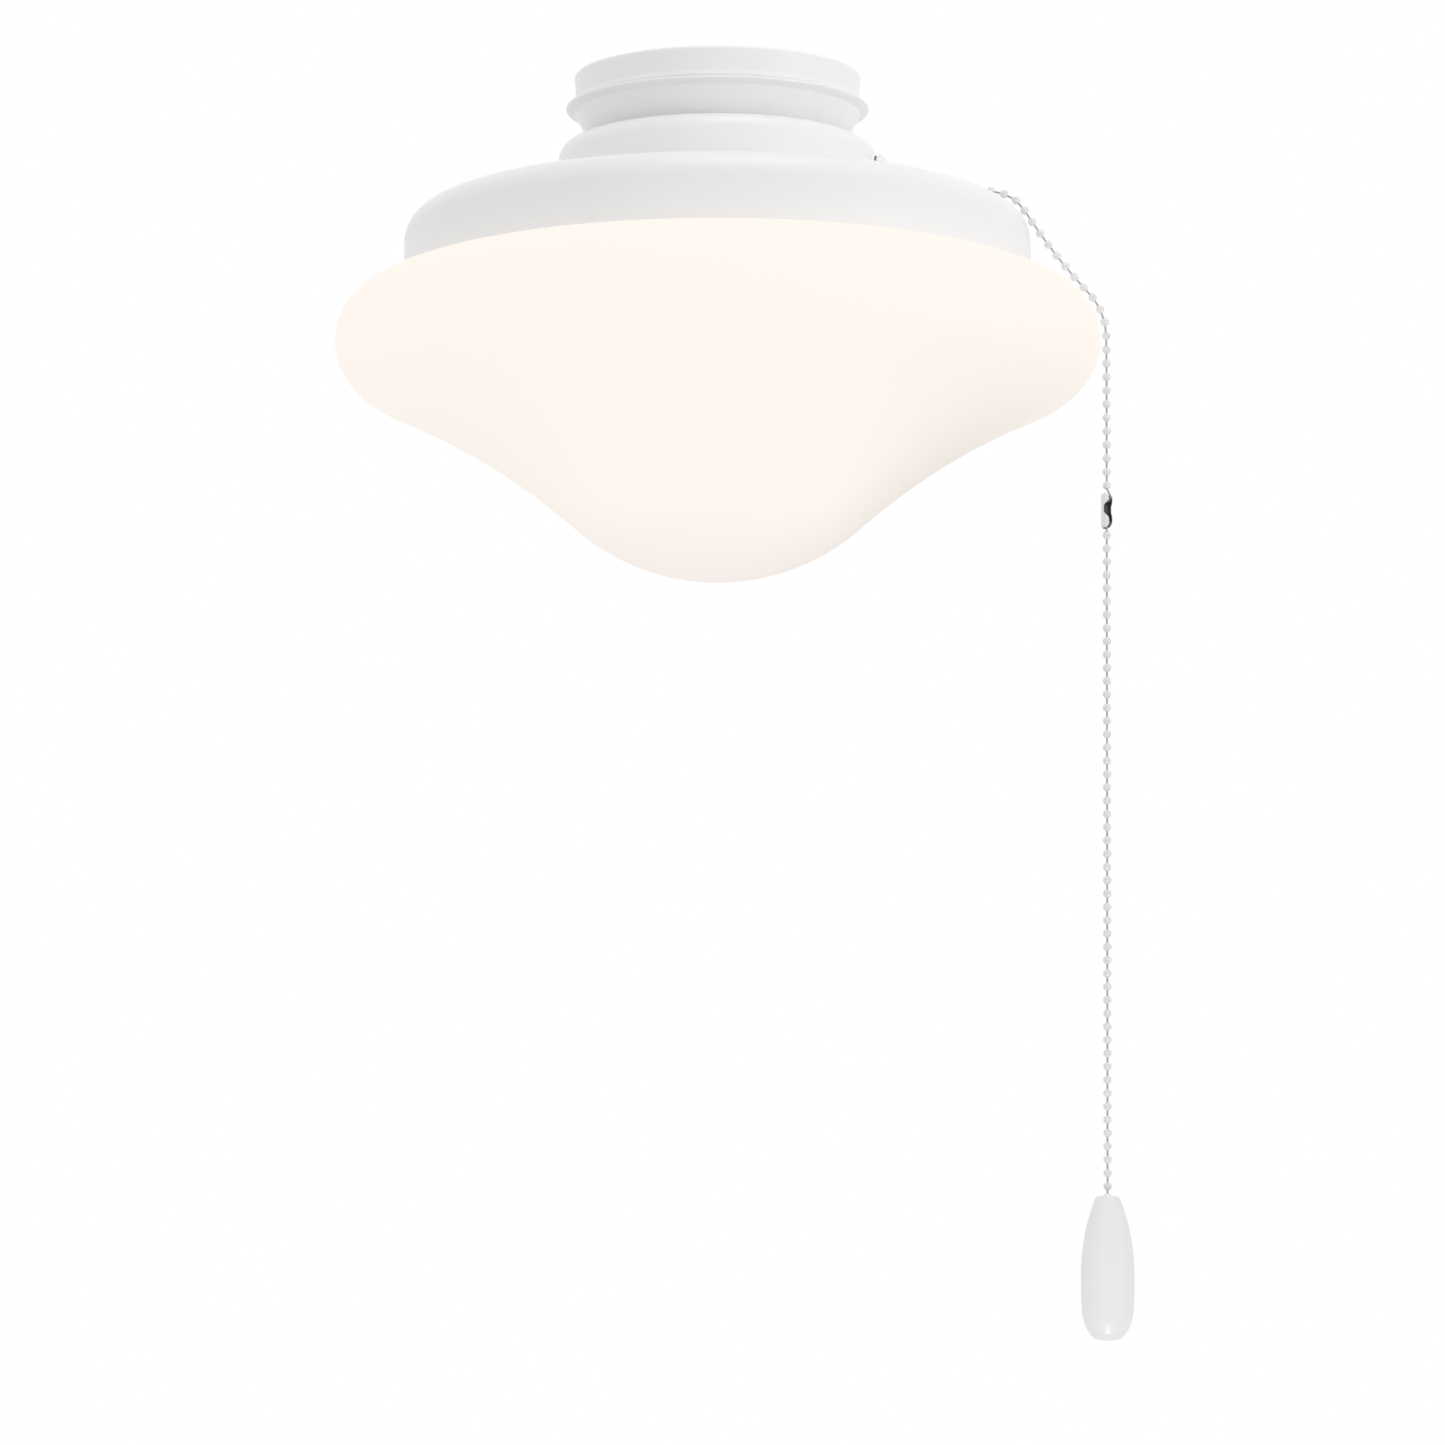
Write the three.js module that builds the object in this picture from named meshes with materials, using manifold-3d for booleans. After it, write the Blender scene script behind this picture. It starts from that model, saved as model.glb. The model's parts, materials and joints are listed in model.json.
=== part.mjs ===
// A ceiling fan light kit: a neck cup that seats under the fan, a switch housing with its pull
// switch, a wide pan with a twist-lock glass shade, two lamps on a bracket, and the pull chain.
// Lengths are in millimetres and +Z is up. The origin is the centre of the neck cup's top face,
// where the fan begins, and the chain hangs on the +X side.

import * as THREE from 'three';
import { mergeVertices } from 'three/addons/utils/BufferGeometryUtils.js';
import Module from 'manifold-3d';

const wasm = await Module();
wasm.setup();

// Driving dimensions. A drop is a distance below the top face.
const collarRadius = 53.5;
const housingRadius = 59.5;
const housingDrop = 26;
const panRadius = 117.2;
const panDrop = 52.5;
const panHeight = 28.4;
const shadeOverhang = 25.9;
const shadeRadius = panRadius + shadeOverhang;
const equatorDrop = 100.9;
const chainBeadRadius = 1.6;
const chainPitch = 5.08;
const sheetThickness = 1;
const neckThickness = 1.2;
const glassThickness = 3;
const seatGap = 0.3;
const chainGap = 0.35;
const runningGap = 0.5;
const cutOverrun = 2;

// How finely round things are divided
const shellSides = 48;
const cupSides = 40;
const smallSides = 18;
const screwSides = 10;
const wireSides = 6;
const degree = Math.PI / 180;

// Joining and cutting

function solid(geometry) {
  const bare = new THREE.BufferGeometry();
  bare.setAttribute('position', geometry.getAttribute('position').clone());
  if (geometry.index) bare.setIndex(geometry.index.clone());
  const merged = mergeVertices(bare);
  const corners = merged.index.array;
  const kept = [];
  for (let i = 0; i < corners.length; i += 3) {
    const [a, b, c] = [corners[i], corners[i + 1], corners[i + 2]];
    if (a !== b && b !== c && c !== a) kept.push(a, b, c);
  }
  return new wasm.Manifold(new wasm.Mesh({
    numProp: 3,
    vertProperties: new Float32Array(merged.getAttribute('position').array),
    triVerts: new Uint32Array(kept),
  }));
}

function geometryOf(body) {
  const { vertProperties, triVerts } = body.getMesh();
  const geometry = new THREE.BufferGeometry();
  geometry.setAttribute('position', new THREE.BufferAttribute(vertProperties, 3));
  geometry.setIndex(new THREE.BufferAttribute(triVerts, 1));
  geometry.computeVertexNormals();
  return geometry;
}

function cut(base, ...tools) {
  return geometryOf(tools.reduce((body, tool) => body.subtract(solid(tool)), solid(base)));
}

function join(...pieces) {
  return geometryOf(pieces.slice(1).reduce((body, piece) => body.add(solid(piece)), solid(pieces[0])));
}

// Shapes. Outlines are lists of [radius, height] pairs, and round bars and plates lie along Z.

function arc(centreRadius, centreZ, radius, fromDegrees, toDegrees, steps) {
  return Array.from({ length: steps + 1 }, (_, i) => {
    const angle = (fromDegrees + (toDegrees - fromDegrees) * i / steps) * degree;
    return [centreRadius + radius * Math.cos(angle), centreZ + radius * Math.sin(angle)];
  });
}

function turned(outline, sides = smallSides) {
  const points = outline.map(([radius, z]) => new THREE.Vector2(Math.max(radius, 0), z));
  const endsOnAxis = points[0].x < Number.EPSILON && points.at(-1).x < Number.EPSILON;
  if (!endsOnAxis) points.push(points[0].clone());
  if (THREE.ShapeUtils.area(points) < 0) points.reverse();
  return new THREE.LatheGeometry(points, sides).rotateX(Math.PI / 2);
}

function rod(radius, fromZ, toZ, sides = smallSides) {
  const length = Math.abs(toZ - fromZ);
  return new THREE.CylinderGeometry(radius, radius, length, sides)
    .rotateX(Math.PI / 2)
    .translate(0, 0, (fromZ + toZ) / 2);
}

function ring(innerRadius, outerRadius, fromZ, toZ, sides = smallSides) {
  return turned([
    [innerRadius, fromZ],
    [outerRadius, fromZ],
    [outerRadius, toZ],
    [innerRadius, toZ],
  ], sides);
}

function block(low, high) {
  const size = high.map((value, i) => value - low[i]);
  const centre = high.map((value, i) => (value + low[i]) / 2);
  return new THREE.BoxGeometry(...size).translate(...centre);
}

function plate(shape, fromZ, toZ, roundSteps = screwSides) {
  return new THREE.ExtrudeGeometry(shape, {
    depth: toZ - fromZ,
    bevelEnabled: false,
    curveSegments: roundSteps,
  }).translate(0, 0, fromZ);
}

function sector(innerRadius, outerRadius, fromDegrees, toDegrees, fromZ, toZ, roundSteps = 3) {
  const shape = new THREE.Shape();
  shape.absarc(0, 0, outerRadius, fromDegrees * degree, toDegrees * degree, false);
  shape.absarc(0, 0, innerRadius, toDegrees * degree, fromDegrees * degree, true);
  return plate(shape, fromZ, toZ, roundSteps);
}

function hexNut(boreRadius, cornerRadius, fromZ, toZ) {
  const corners = Array.from({ length: 6 }, (_, i) => new THREE.Vector2(
    cornerRadius * Math.cos(i * 60 * degree),
    cornerRadius * Math.sin(i * 60 * degree),
  ));
  const shape = new THREE.Shape(corners);
  shape.holes.push(new THREE.Path().absarc(0, 0, boreRadius, 0, Math.PI * 2, true));
  return plate(shape, fromZ, toZ);
}

function tube(curve, radius, steps) {
  const section = new THREE.Shape().absarc(0, 0, radius, 0, Math.PI * 2, false);
  return new THREE.ExtrudeGeometry(section, {
    extrudePath: curve,
    steps,
    bevelEnabled: false,
    curveSegments: wireSides / 2,
  });
}

function smoothCurve(points) {
  const curve = new THREE.CatmullRomCurve3(points.map((p) => new THREE.Vector3(...p)), false, 'centripetal');
  curve.arcLengthDivisions = 400;
  return curve;
}

function around(count, startDegrees, makeOne) {
  return Array.from({ length: count }, (_, i) => {
    const angle = startDegrees + i * 360 / count;
    return makeOne(angle, i);
  });
}

// Finishes

function finish(color, roughness, metalness) {
  return new THREE.MeshStandardMaterial({ color, roughness, metalness });
}

const whitePaint = () => finish(0xeceae8, 0.45, 0.05);
const plainWhite = () => finish(0xf2f2f0, 0.55, 0);
const opalGlass = () => finish(0xfff6ec, 0.35, 0);
const zincSteel = () => finish(0xb9bcc0, 0.35, 0.9);
const darkSteel = () => finish(0x4a4c50, 0.45, 0.8);
const brass = () => finish(0xc9a24a, 0.35, 0.9);
const blackPlastic = () => finish(0x26262a, 0.5, 0);

const kit = new THREE.Group();

function addPiece(name, geometry, material, parent = kit) {
  const mesh = new THREE.Mesh(geometryOf(solid(geometry)), material);
  mesh.name = name;
  parent.add(mesh);
  return mesh;
}

// Nipple and the holes that it passes through

const nippleRadius = 4.85;
const nippleBoreRadius = 3.3;
const nippleTopDrop = 15;
const nippleLength = 52;
const nippleHoleRadius = nippleRadius + seatGap;
const nutCornerRadius = 8.3;
const nutThickness = 5;
const washerRadius = 8;
const washerThickness = 1.2;

// Neck cup: a spun cup with a flat top flange, a rolled lip and a waist that narrows to its floor

const neckFloorZ = -housingDrop + seatGap;
const collarTaper = 0.6;
const collarCornerRadius = 1.3;
const flangeInnerRadius = 38;
const rolledLipRadius = 1.05;
const rolledLipStep = 1.85;
const rolledLipCentreRadius = collarRadius + rolledLipStep;
const rolledLipZ = -11.6;
const waistTopRadius = collarRadius + 3 * rolledLipRadius / 2;
const waistTopZ = rolledLipZ - rolledLipStep;
const waistDegrees = 37.2;
const waistCornerRadius = 1.5;
const keyholeCircleRadius = 45;
const keyholeHeadRadius = 4.4;
const keyholeSlotRadius = 2.4;
const keyholeDegrees = 16;
const keyholeCount = 3;
const neckScrewCircleRadius = 32;
const neckScrewStartDegrees = 90;
const screwShankRadius = 1.75;
const screwHeadRadius = 3.6;
const screwHeadHeight = 2.2;
const screwLength = 7;
const screwHoleRadius = screwShankRadius + seatGap;

// Grommets: one passes the neck floor and the housing, the other the pan, pad and reflector

const grommetHoleRadius = 7;
const grommetBoreRadius = 4.4;
const grommetFlangeRadius = 8.8;
const grommetFlangeHeight = 1.4;
const neckGrommetX = -26;
const panGrommetY = 28;

function neckOutline() {
  const slope = Math.tan(waistDegrees * degree);
  const normal = [Math.cos(waistDegrees * degree), -Math.sin(waistDegrees * degree)];
  const cornerZ = neckFloorZ + waistCornerRadius;
  const cornerEndZ = cornerZ + waistCornerRadius * normal[1];
  const cornerEndRadius = waistTopRadius - (waistTopZ - cornerEndZ) * slope;
  const cornerRadius = cornerEndRadius - waistCornerRadius * normal[0];
  const collarFootRadius = collarRadius - collarTaper;
  const lipTopZ = rolledLipZ + rolledLipRadius;
  const innerWall = collarFootRadius - neckThickness;
  return [
    [nippleHoleRadius, neckFloorZ],
    ...arc(cornerRadius, cornerZ, waistCornerRadius, -90, -waistDegrees, 2),
    [waistTopRadius, waistTopZ],
    ...arc(rolledLipCentreRadius, rolledLipZ, rolledLipRadius, -60, 75, 5),
    [collarFootRadius, lipTopZ + neckThickness / 2],
    ...arc(collarRadius - collarCornerRadius, -collarCornerRadius, collarCornerRadius, 0, 90, 2),
    [flangeInnerRadius, 0],
    [flangeInnerRadius, -neckThickness],
    [innerWall, -neckThickness],
    [innerWall, lipTopZ],
    [waistTopRadius - neckThickness * normal[0], waistTopZ - neckThickness * normal[1]],
    [cornerEndRadius - neckThickness, neckFloorZ + neckThickness],
    [nippleHoleRadius, neckFloorZ + neckThickness],
  ];
}

function keyhole(angle) {
  const low = -neckThickness - cutOverrun;
  const place = angle * degree;
  const head = rod(keyholeHeadRadius, low, cutOverrun)
    .translate(keyholeCircleRadius * Math.cos(place), keyholeCircleRadius * Math.sin(place), 0);
  const slot = sector(
    keyholeCircleRadius - keyholeSlotRadius,
    keyholeCircleRadius + keyholeSlotRadius,
    angle, angle + keyholeDegrees, low, cutOverrun,
  );
  return join(head, slot);
}

const neckScrewPlaces = around(3, neckScrewStartDegrees, (angle) => [
  neckScrewCircleRadius * Math.cos(angle * degree),
  neckScrewCircleRadius * Math.sin(angle * degree),
]);

function throughHoles(radius, places, fromZ, toZ, sides = screwSides) {
  return places.map(([x, y]) => rod(radius, fromZ, toZ, sides).translate(x, y, 0));
}

const plateStackTopZ = neckFloorZ + neckThickness;
const plateStackFootZ = -housingDrop - sheetThickness;

addPiece('neck_cup', cut(
  turned(neckOutline(), cupSides),
  ...around(keyholeCount, 30, keyhole),
  ...throughHoles(screwHoleRadius, neckScrewPlaces, neckFloorZ - cutOverrun, plateStackTopZ + cutOverrun),
  rod(grommetHoleRadius, neckFloorZ - cutOverrun, plateStackTopZ + cutOverrun).translate(neckGrommetX, 0, 0),
), whitePaint());

// Screws that hold the neck cup to the housing. The green one carries the earth lead.

function panScrew(headZ) {
  return turned([
    [0, headZ - screwLength],
    [screwShankRadius, headZ - screwLength],
    [screwShankRadius, headZ],
    [screwHeadRadius, headZ],
    [screwHeadRadius, headZ + screwHeadHeight / 2],
    [screwHeadRadius / 2, headZ + screwHeadHeight],
    [0, headZ + screwHeadHeight],
  ], screwSides);
}

const neckScrewNames = ['neck_screw_a', 'ground_screw', 'neck_screw_b'];
neckScrewPlaces.forEach(([x, y], i) => {
  const isGround = i === 1;
  addPiece(
    neckScrewNames[i],
    panScrew(plateStackTopZ + seatGap).translate(x, y, 0),
    isGround ? finish(0x2f8f4e, 0.4, 0.6) : zincSteel(),
  );
});

function grommet(topZ, footZ) {
  const bodyRadius = grommetHoleRadius - seatGap;
  const upperZ = topZ + seatGap;
  const lowerZ = footZ - seatGap;
  return turned([
    [grommetBoreRadius, lowerZ - grommetFlangeHeight],
    [grommetFlangeRadius, lowerZ - grommetFlangeHeight],
    [grommetFlangeRadius, lowerZ],
    [bodyRadius, lowerZ],
    [bodyRadius, upperZ],
    [grommetFlangeRadius, upperZ],
    [grommetFlangeRadius, upperZ + grommetFlangeHeight],
    [grommetBoreRadius, upperZ + grommetFlangeHeight],
  ]);
}

addPiece('neck_grommet', grommet(plateStackTopZ, plateStackFootZ).translate(neckGrommetX, 0, 0), blackPlastic());

// Switch housing: an inverted cup between the neck and the pan

const housingCornerRadius = 6.8;
const housingFootZ = -panDrop + seatGap;
const switchDrop = 38;
const switchDegrees = -10;
const barrelRadius = 4.6;
const barrelHoleRadius = barrelRadius + runningGap;

function housingOutline() {
  const cornerZ = -housingDrop - housingCornerRadius;
  const cornerAt = housingRadius - housingCornerRadius;
  const innerCorner = housingCornerRadius - sheetThickness;
  return [
    [housingRadius, housingFootZ],
    ...arc(cornerAt, cornerZ, housingCornerRadius, 0, 90, 4),
    [nippleHoleRadius, -housingDrop],
    [nippleHoleRadius, plateStackFootZ],
    ...arc(cornerAt, cornerZ, innerCorner, 90, 0, 3),
    [housingRadius - sheetThickness, housingFootZ],
  ];
}

function alongSwitch(geometry) {
  return geometry.rotateY(Math.PI / 2).rotateZ(switchDegrees * degree).translate(0, 0, -switchDrop);
}

addPiece('switch_housing', cut(
  turned(housingOutline(), cupSides),
  ...throughHoles(screwHoleRadius, neckScrewPlaces, plateStackFootZ - cutOverrun, -housingDrop + cutOverrun),
  rod(grommetHoleRadius, plateStackFootZ - cutOverrun, -housingDrop + cutOverrun).translate(neckGrommetX, 0, 0),
  alongSwitch(rod(barrelHoleRadius, housingRadius - housingCornerRadius, housingRadius + cutOverrun)),
), whitePaint());

// Pan: a flat top, a round shoulder and a straight skirt that covers the shade's neck

const panShoulderRadius = 11.3;
const panFootZ = -panDrop - panHeight;
const panCeilingZ = -panDrop - sheetThickness;
const panInnerRadius = panRadius - sheetThickness;

function panOutline() {
  const shoulderZ = -panDrop - panShoulderRadius;
  const shoulderAt = panRadius - panShoulderRadius;
  const innerShoulder = panShoulderRadius - sheetThickness;
  return [
    [panRadius, panFootZ],
    ...arc(shoulderAt, shoulderZ, panShoulderRadius, 0, 90, 5),
    [nippleHoleRadius, -panDrop],
    [nippleHoleRadius, panCeilingZ],
    ...arc(shoulderAt, shoulderZ, innerShoulder, 90, 0, 3),
    [panInnerRadius, panFootZ],
  ];
}

const padThickness = 2.4;
const padInset = 17.2;
const reflectorInset = 21.2;
const reflectorRimWidth = 7;
const padRadius = panRadius - padInset;
const reflectorRadius = panRadius - reflectorInset;
const reflectorRimRadius = reflectorRadius + reflectorRimWidth;
const padTopZ = panCeilingZ - seatGap;
const padFootZ = padTopZ - padThickness;
const reflectorThickness = 0.6;
const reflectorRimDepth = 6;
const reflectorTopZ = padFootZ - seatGap;
const reflectorFootZ = reflectorTopZ - reflectorThickness;
const grommetCut = () => rod(grommetHoleRadius, reflectorFootZ - cutOverrun, -panDrop + cutOverrun)
  .translate(0, panGrommetY, 0);

addPiece('glass_pan', cut(turned(panOutline(), shellSides), grommetCut()), whitePaint());
addPiece('insulation_pad', cut(
  ring(nippleHoleRadius, padRadius, padFootZ, padTopZ, shellSides),
  grommetCut(),
), finish(0xd8d2c0, 0.95, 0));
addPiece('reflector_disc', cut(
  turned([
    [nippleHoleRadius, reflectorFootZ],
    [reflectorRadius, reflectorFootZ],
    [reflectorRimRadius, reflectorFootZ - reflectorRimDepth],
    [reflectorRimRadius + reflectorThickness, reflectorFootZ - reflectorRimDepth],
    [reflectorRadius + reflectorThickness, reflectorTopZ],
    [nippleHoleRadius, reflectorTopZ],
  ], shellSides),
  grommetCut(),
), finish(0xe6e6e6, 0.3, 0.4));
addPiece('pan_grommet', grommet(-panDrop, reflectorFootZ).translate(0, panGrommetY, 0), blackPlastic());

// Lamp bracket: a strap whose two ears lean in, so that each lamp points out and down

const bracketWidth = 30;
const bracketThickness = 1.5;
const bracketHalfFlat = 22;
const bracketEarLength = 38;
const lampTiltDegrees = 30;
const lampPlaceAlongEar = 21;
const bracketTopZ = reflectorFootZ - seatGap;
const bracketMiddleZ = bracketTopZ - bracketThickness / 2;
const earDirection = [-Math.sin(lampTiltDegrees * degree), -Math.cos(lampTiltDegrees * degree)];

function bracketStrap() {
  const half = bracketThickness / 2;
  const bendDegrees = 90 + lampTiltDegrees;
  const mitre = half * Math.tan(bendDegrees / 2 * degree);
  const earEnd = [
    bracketHalfFlat + earDirection[0] * bracketEarLength,
    bracketMiddleZ + earDirection[1] * bracketEarLength,
  ];
  const acrossEar = [Math.cos(lampTiltDegrees * degree) * half, -Math.sin(lampTiltDegrees * degree) * half];
  const rightOuter = [
    [bracketHalfFlat + mitre, bracketMiddleZ + half],
    [earEnd[0] + acrossEar[0], earEnd[1] + acrossEar[1]],
  ];
  const rightInner = [
    [earEnd[0] - acrossEar[0], earEnd[1] - acrossEar[1]],
    [bracketHalfFlat - mitre, bracketMiddleZ - half],
  ];
  const mirrored = (points) => points.map(([x, z]) => [-x, z]).reverse();
  const outline = [...rightOuter, ...rightInner, ...mirrored(rightInner), ...mirrored(rightOuter)];
  const shape = new THREE.Shape(outline.map(([x, z]) => new THREE.Vector2(x, z)));
  return plate(shape, -bracketWidth / 2, bracketWidth / 2).rotateX(Math.PI / 2);
}

// A group at each ear's middle, turned so that its own Z axis points along the lamp

function lampFrame(side) {
  const frame = new THREE.Group();
  frame.position.set(
    side * (bracketHalfFlat + earDirection[0] * lampPlaceAlongEar),
    0,
    bracketMiddleZ + earDirection[1] * lampPlaceAlongEar,
  );
  frame.rotation.set(0, side * (90 + lampTiltDegrees) * degree, 0);
  frame.updateMatrixWorld(true);
  kit.add(frame);
  return frame;
}

const lampSides = [['left', -1], ['right', 1]];
const lampFrames = Object.fromEntries(lampSides.map(([name, side]) => [name, lampFrame(side)]));
const earHoles = lampSides.map(([name]) => rod(
  screwHoleRadius, -bracketThickness, bracketThickness, screwSides,
).applyMatrix4(lampFrames[name].matrixWorld));

addPiece('lamp_bracket', cut(
  bracketStrap(),
  rod(nippleHoleRadius, bracketTopZ - bracketThickness - cutOverrun, bracketTopZ + cutOverrun),
  ...earHoles,
), zincSteel());

// Nipple with a nut and a lock washer at each end, which clamp the whole stack together

const upperWasherZ = plateStackTopZ + seatGap;
const upperNutZ = upperWasherZ + washerThickness + seatGap;
const lowerWasherZ = bracketTopZ - bracketThickness - seatGap;
const lowerNutZ = lowerWasherZ - washerThickness - seatGap;

addPiece('threaded_nipple', ring(
  nippleBoreRadius, nippleRadius, -nippleTopDrop - nippleLength, -nippleTopDrop,
), zincSteel());
addPiece('lock_washer_upper', ring(
  nippleHoleRadius, washerRadius, upperWasherZ, upperWasherZ + washerThickness,
), darkSteel());
addPiece('nipple_nut_upper', hexNut(
  nippleHoleRadius, nutCornerRadius, upperNutZ, upperNutZ + nutThickness,
), zincSteel());
addPiece('lock_washer_lower', ring(
  nippleHoleRadius, washerRadius, lowerWasherZ - washerThickness, lowerWasherZ,
), darkSteel());
addPiece('nipple_nut_lower', hexNut(
  nippleHoleRadius, nutCornerRadius, lowerNutZ - nutThickness, lowerNutZ,
), zincSteel());

// Lampholders and lamps, each built along its own axis from the ear's outer face

const holderRadius = 19;
const holderMouthRadius = 17;
const holderLength = 30;
const holderFloor = 8;
const shellThickness = 0.5;
const shellBoreRadius = 13.4;
const holderBoreRadius = shellBoreRadius + shellThickness + seatGap;
const holderScrewDepth = 6;
const contactRadius = 4;
const contactHeight = 1.4;
const capRadius = 13;
const capLength = 22;
const capTipRadius = 4.5;
const capTipHeight = 2;
const globeRadius = 24;
const bulbSideGap = 47.5;
const globeNeckRadius = 12.4;

const earFace = bracketThickness / 2;
const holderBack = earFace + seatGap;
const holderFloorZ = holderBack + holderFloor;
const contactTopZ = holderFloorZ + seatGap + contactHeight;
const bulbTipZ = contactTopZ + seatGap;
const lampPlaceX = bracketHalfFlat + earDirection[0] * lampPlaceAlongEar;
const bulbReach = (shadeRadius - bulbSideGap - lampPlaceX) / Math.cos(lampTiltDegrees * degree);
const capFootZ = bulbTipZ + capTipHeight;
const capMouthZ = capFootZ + capLength;
const globeCentreZ = bulbReach - globeRadius;

function bulbGlobeOutline() {
  const footZ = capMouthZ + seatGap;
  const shoulder = arc(0, globeCentreZ, globeRadius, -42, 90, 7);
  const [shoulderRadius, shoulderZ] = shoulder[0];
  const rise = shoulderZ - footZ;
  const swell = shoulderRadius - globeNeckRadius;
  return [
    [0, footZ],
    [globeNeckRadius, footZ],
    [globeNeckRadius + swell * 0.16, footZ + rise * 0.35],
    [globeNeckRadius + swell * 0.55, footZ + rise * 0.7],
    ...shoulder,
  ];
}

function capOutline() {
  const threadCount = 4;
  const threadDepth = seatGap;
  const threadRise = capLength / (threadCount + 2);
  const threads = Array.from({ length: threadCount }, (_, i) => [
    [capRadius - threadDepth, capFootZ + threadRise * (i + 0.5)],
    [capRadius, capFootZ + threadRise * (i + 1)],
  ]).flat();
  return [
    [0, bulbTipZ],
    [capTipRadius, bulbTipZ],
    [capTipRadius, bulbTipZ + capTipHeight / 2],
    [capRadius - capTipHeight, capFootZ],
    ...threads,
    [capRadius, capMouthZ],
    [0, capMouthZ],
  ];
}

for (const [side] of lampSides) {
  const frame = lampFrames[side];
  addPiece(`lampholder_${side}`, cut(
    turned([
      [0, holderBack],
      [holderRadius, holderBack],
      [holderRadius, holderFloorZ],
      [holderMouthRadius, holderBack + holderLength],
      [holderBoreRadius, holderBack + holderLength],
      [holderBoreRadius, holderFloorZ],
      [0, holderFloorZ],
    ], smallSides),
    rod(screwHoleRadius, holderBack - cutOverrun, holderBack + holderScrewDepth, screwSides),
  ), finish(0xf0ece2, 0.35, 0), frame);
  addPiece(`holder_screw_${side}`, panScrew(0)
    .rotateX(Math.PI)
    .translate(0, 0, -earFace - seatGap), zincSteel(), frame);
  addPiece(`screw_shell_${side}`, turned([
    [contactRadius + runningGap, holderFloorZ + seatGap],
    [shellBoreRadius + shellThickness, holderFloorZ + seatGap],
    [shellBoreRadius + shellThickness, holderBack + holderLength - seatGap],
    [shellBoreRadius, holderBack + holderLength - seatGap],
    [shellBoreRadius, holderFloorZ + seatGap + shellThickness],
    [contactRadius + runningGap, holderFloorZ + seatGap + shellThickness],
  ]), brass(), frame);
  addPiece(`centre_contact_${side}`, rod(
    contactRadius, holderFloorZ + seatGap, contactTopZ, screwSides,
  ), brass(), frame);
  addPiece(`bulb_cap_${side}`, turned(capOutline()), zincSteel(), frame);
  addPiece(`bulb_globe_${side}`, turned(bulbGlobeOutline()), opalGlass(), frame);
}

// Shade clips: three spot-welded hooks inside the skirt. Each has a foot under the shade's lip
// and an ear that stops the shade from turning past its locked place.

const clipCount = 3;
const clipStartDegrees = 10;
const clipDegrees = 12;
const clipEarDegrees = 1.6;
const clipThickness = 0.8;
const clipFootThickness = 1.2;
const clipTopDepth = 11.9;
const shadeLipWidth = 3.7;
const shadeLipHeight = 4;
const shadeRimDepth = 13;
const notchDegrees = 28;
const notchLeadDegrees = 0.3;
const notchDepth = 0.3;

const shadeRimZ = -panDrop - shadeRimDepth;
const shadeLipZ = shadeRimZ - shadeLipHeight;
const clipFootTopZ = shadeLipZ - seatGap;
const clipFootZ = clipFootTopZ - clipFootThickness;
const clipOuterRadius = panInnerRadius - runningGap;
const shadeLipRadius = clipOuterRadius - clipThickness - 2 * chainGap;
const shadeNeckRadius = shadeLipRadius - shadeLipWidth;
const clipInnerRadius = shadeNeckRadius + runningGap;

function shadeClip(angle) {
  const earStart = angle + clipDegrees;
  const clipTopZ = -panDrop - clipTopDepth;
  return cut(
    sector(clipInnerRadius, clipOuterRadius, angle, earStart + clipEarDegrees, clipFootZ, clipTopZ, 4),
    sector(
      clipInnerRadius - cutOverrun, clipOuterRadius - clipThickness, angle - clipEarDegrees, earStart,
      clipFootTopZ, clipTopZ + cutOverrun, 4,
    ),
  );
}

around(clipCount, clipStartDegrees, shadeClip).forEach((clip, i) => {
  addPiece(`shade_clip_${i + 1}`, clip, zincSteel());
});

// Glass shade: a low opal bowl. Its wall is a chain of arcs that meet without a corner, from the
// shoulder round the equator and down a hollow flank to a round bottom.

const shoulderArcRadius = 18.8;
const flankArcRadius = 20.9;
const flankArcDegrees = 65.4;
const hollowArcRadius = 294;
const hollowArcDegrees = 17.9;
const shadeNeckFillet = 3.5;

function shadeWall(inset, steps, hollowSteps) {
  const equatorZ = -equatorDrop;
  const shoulderAt = shadeRadius - shoulderArcRadius;
  const flankAt = shadeRadius - flankArcRadius;
  const leaving = flankArcDegrees * degree;
  const flankEnd = [
    flankAt + flankArcRadius * Math.cos(leaving),
    equatorZ - flankArcRadius * Math.sin(leaving),
  ];
  const hollowCentre = [
    flankEnd[0] + hollowArcRadius * Math.cos(leaving),
    flankEnd[1] - hollowArcRadius * Math.sin(leaving),
  ];
  const bowlDegrees = flankArcDegrees - hollowArcDegrees;
  const joining = bowlDegrees * degree;
  const bowlStart = [
    hollowCentre[0] - hollowArcRadius * Math.cos(joining),
    hollowCentre[1] + hollowArcRadius * Math.sin(joining),
  ];
  const bowlRadius = bowlStart[0] / Math.cos(joining);
  const bowlCentreZ = bowlStart[1] + bowlRadius * Math.sin(joining);
  return [
    ...arc(0, bowlCentreZ, bowlRadius - inset, -90, -bowlDegrees, steps),
    ...arc(hollowCentre[0], hollowCentre[1], hollowArcRadius + inset,
      180 - bowlDegrees, 180 - flankArcDegrees, hollowSteps).slice(1),
    ...arc(flankAt, equatorZ, flankArcRadius - inset, -flankArcDegrees, 0, steps).slice(1),
    ...arc(shoulderAt, equatorZ, shoulderArcRadius - inset, 0, 90, steps).slice(1),
  ];
}

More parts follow.
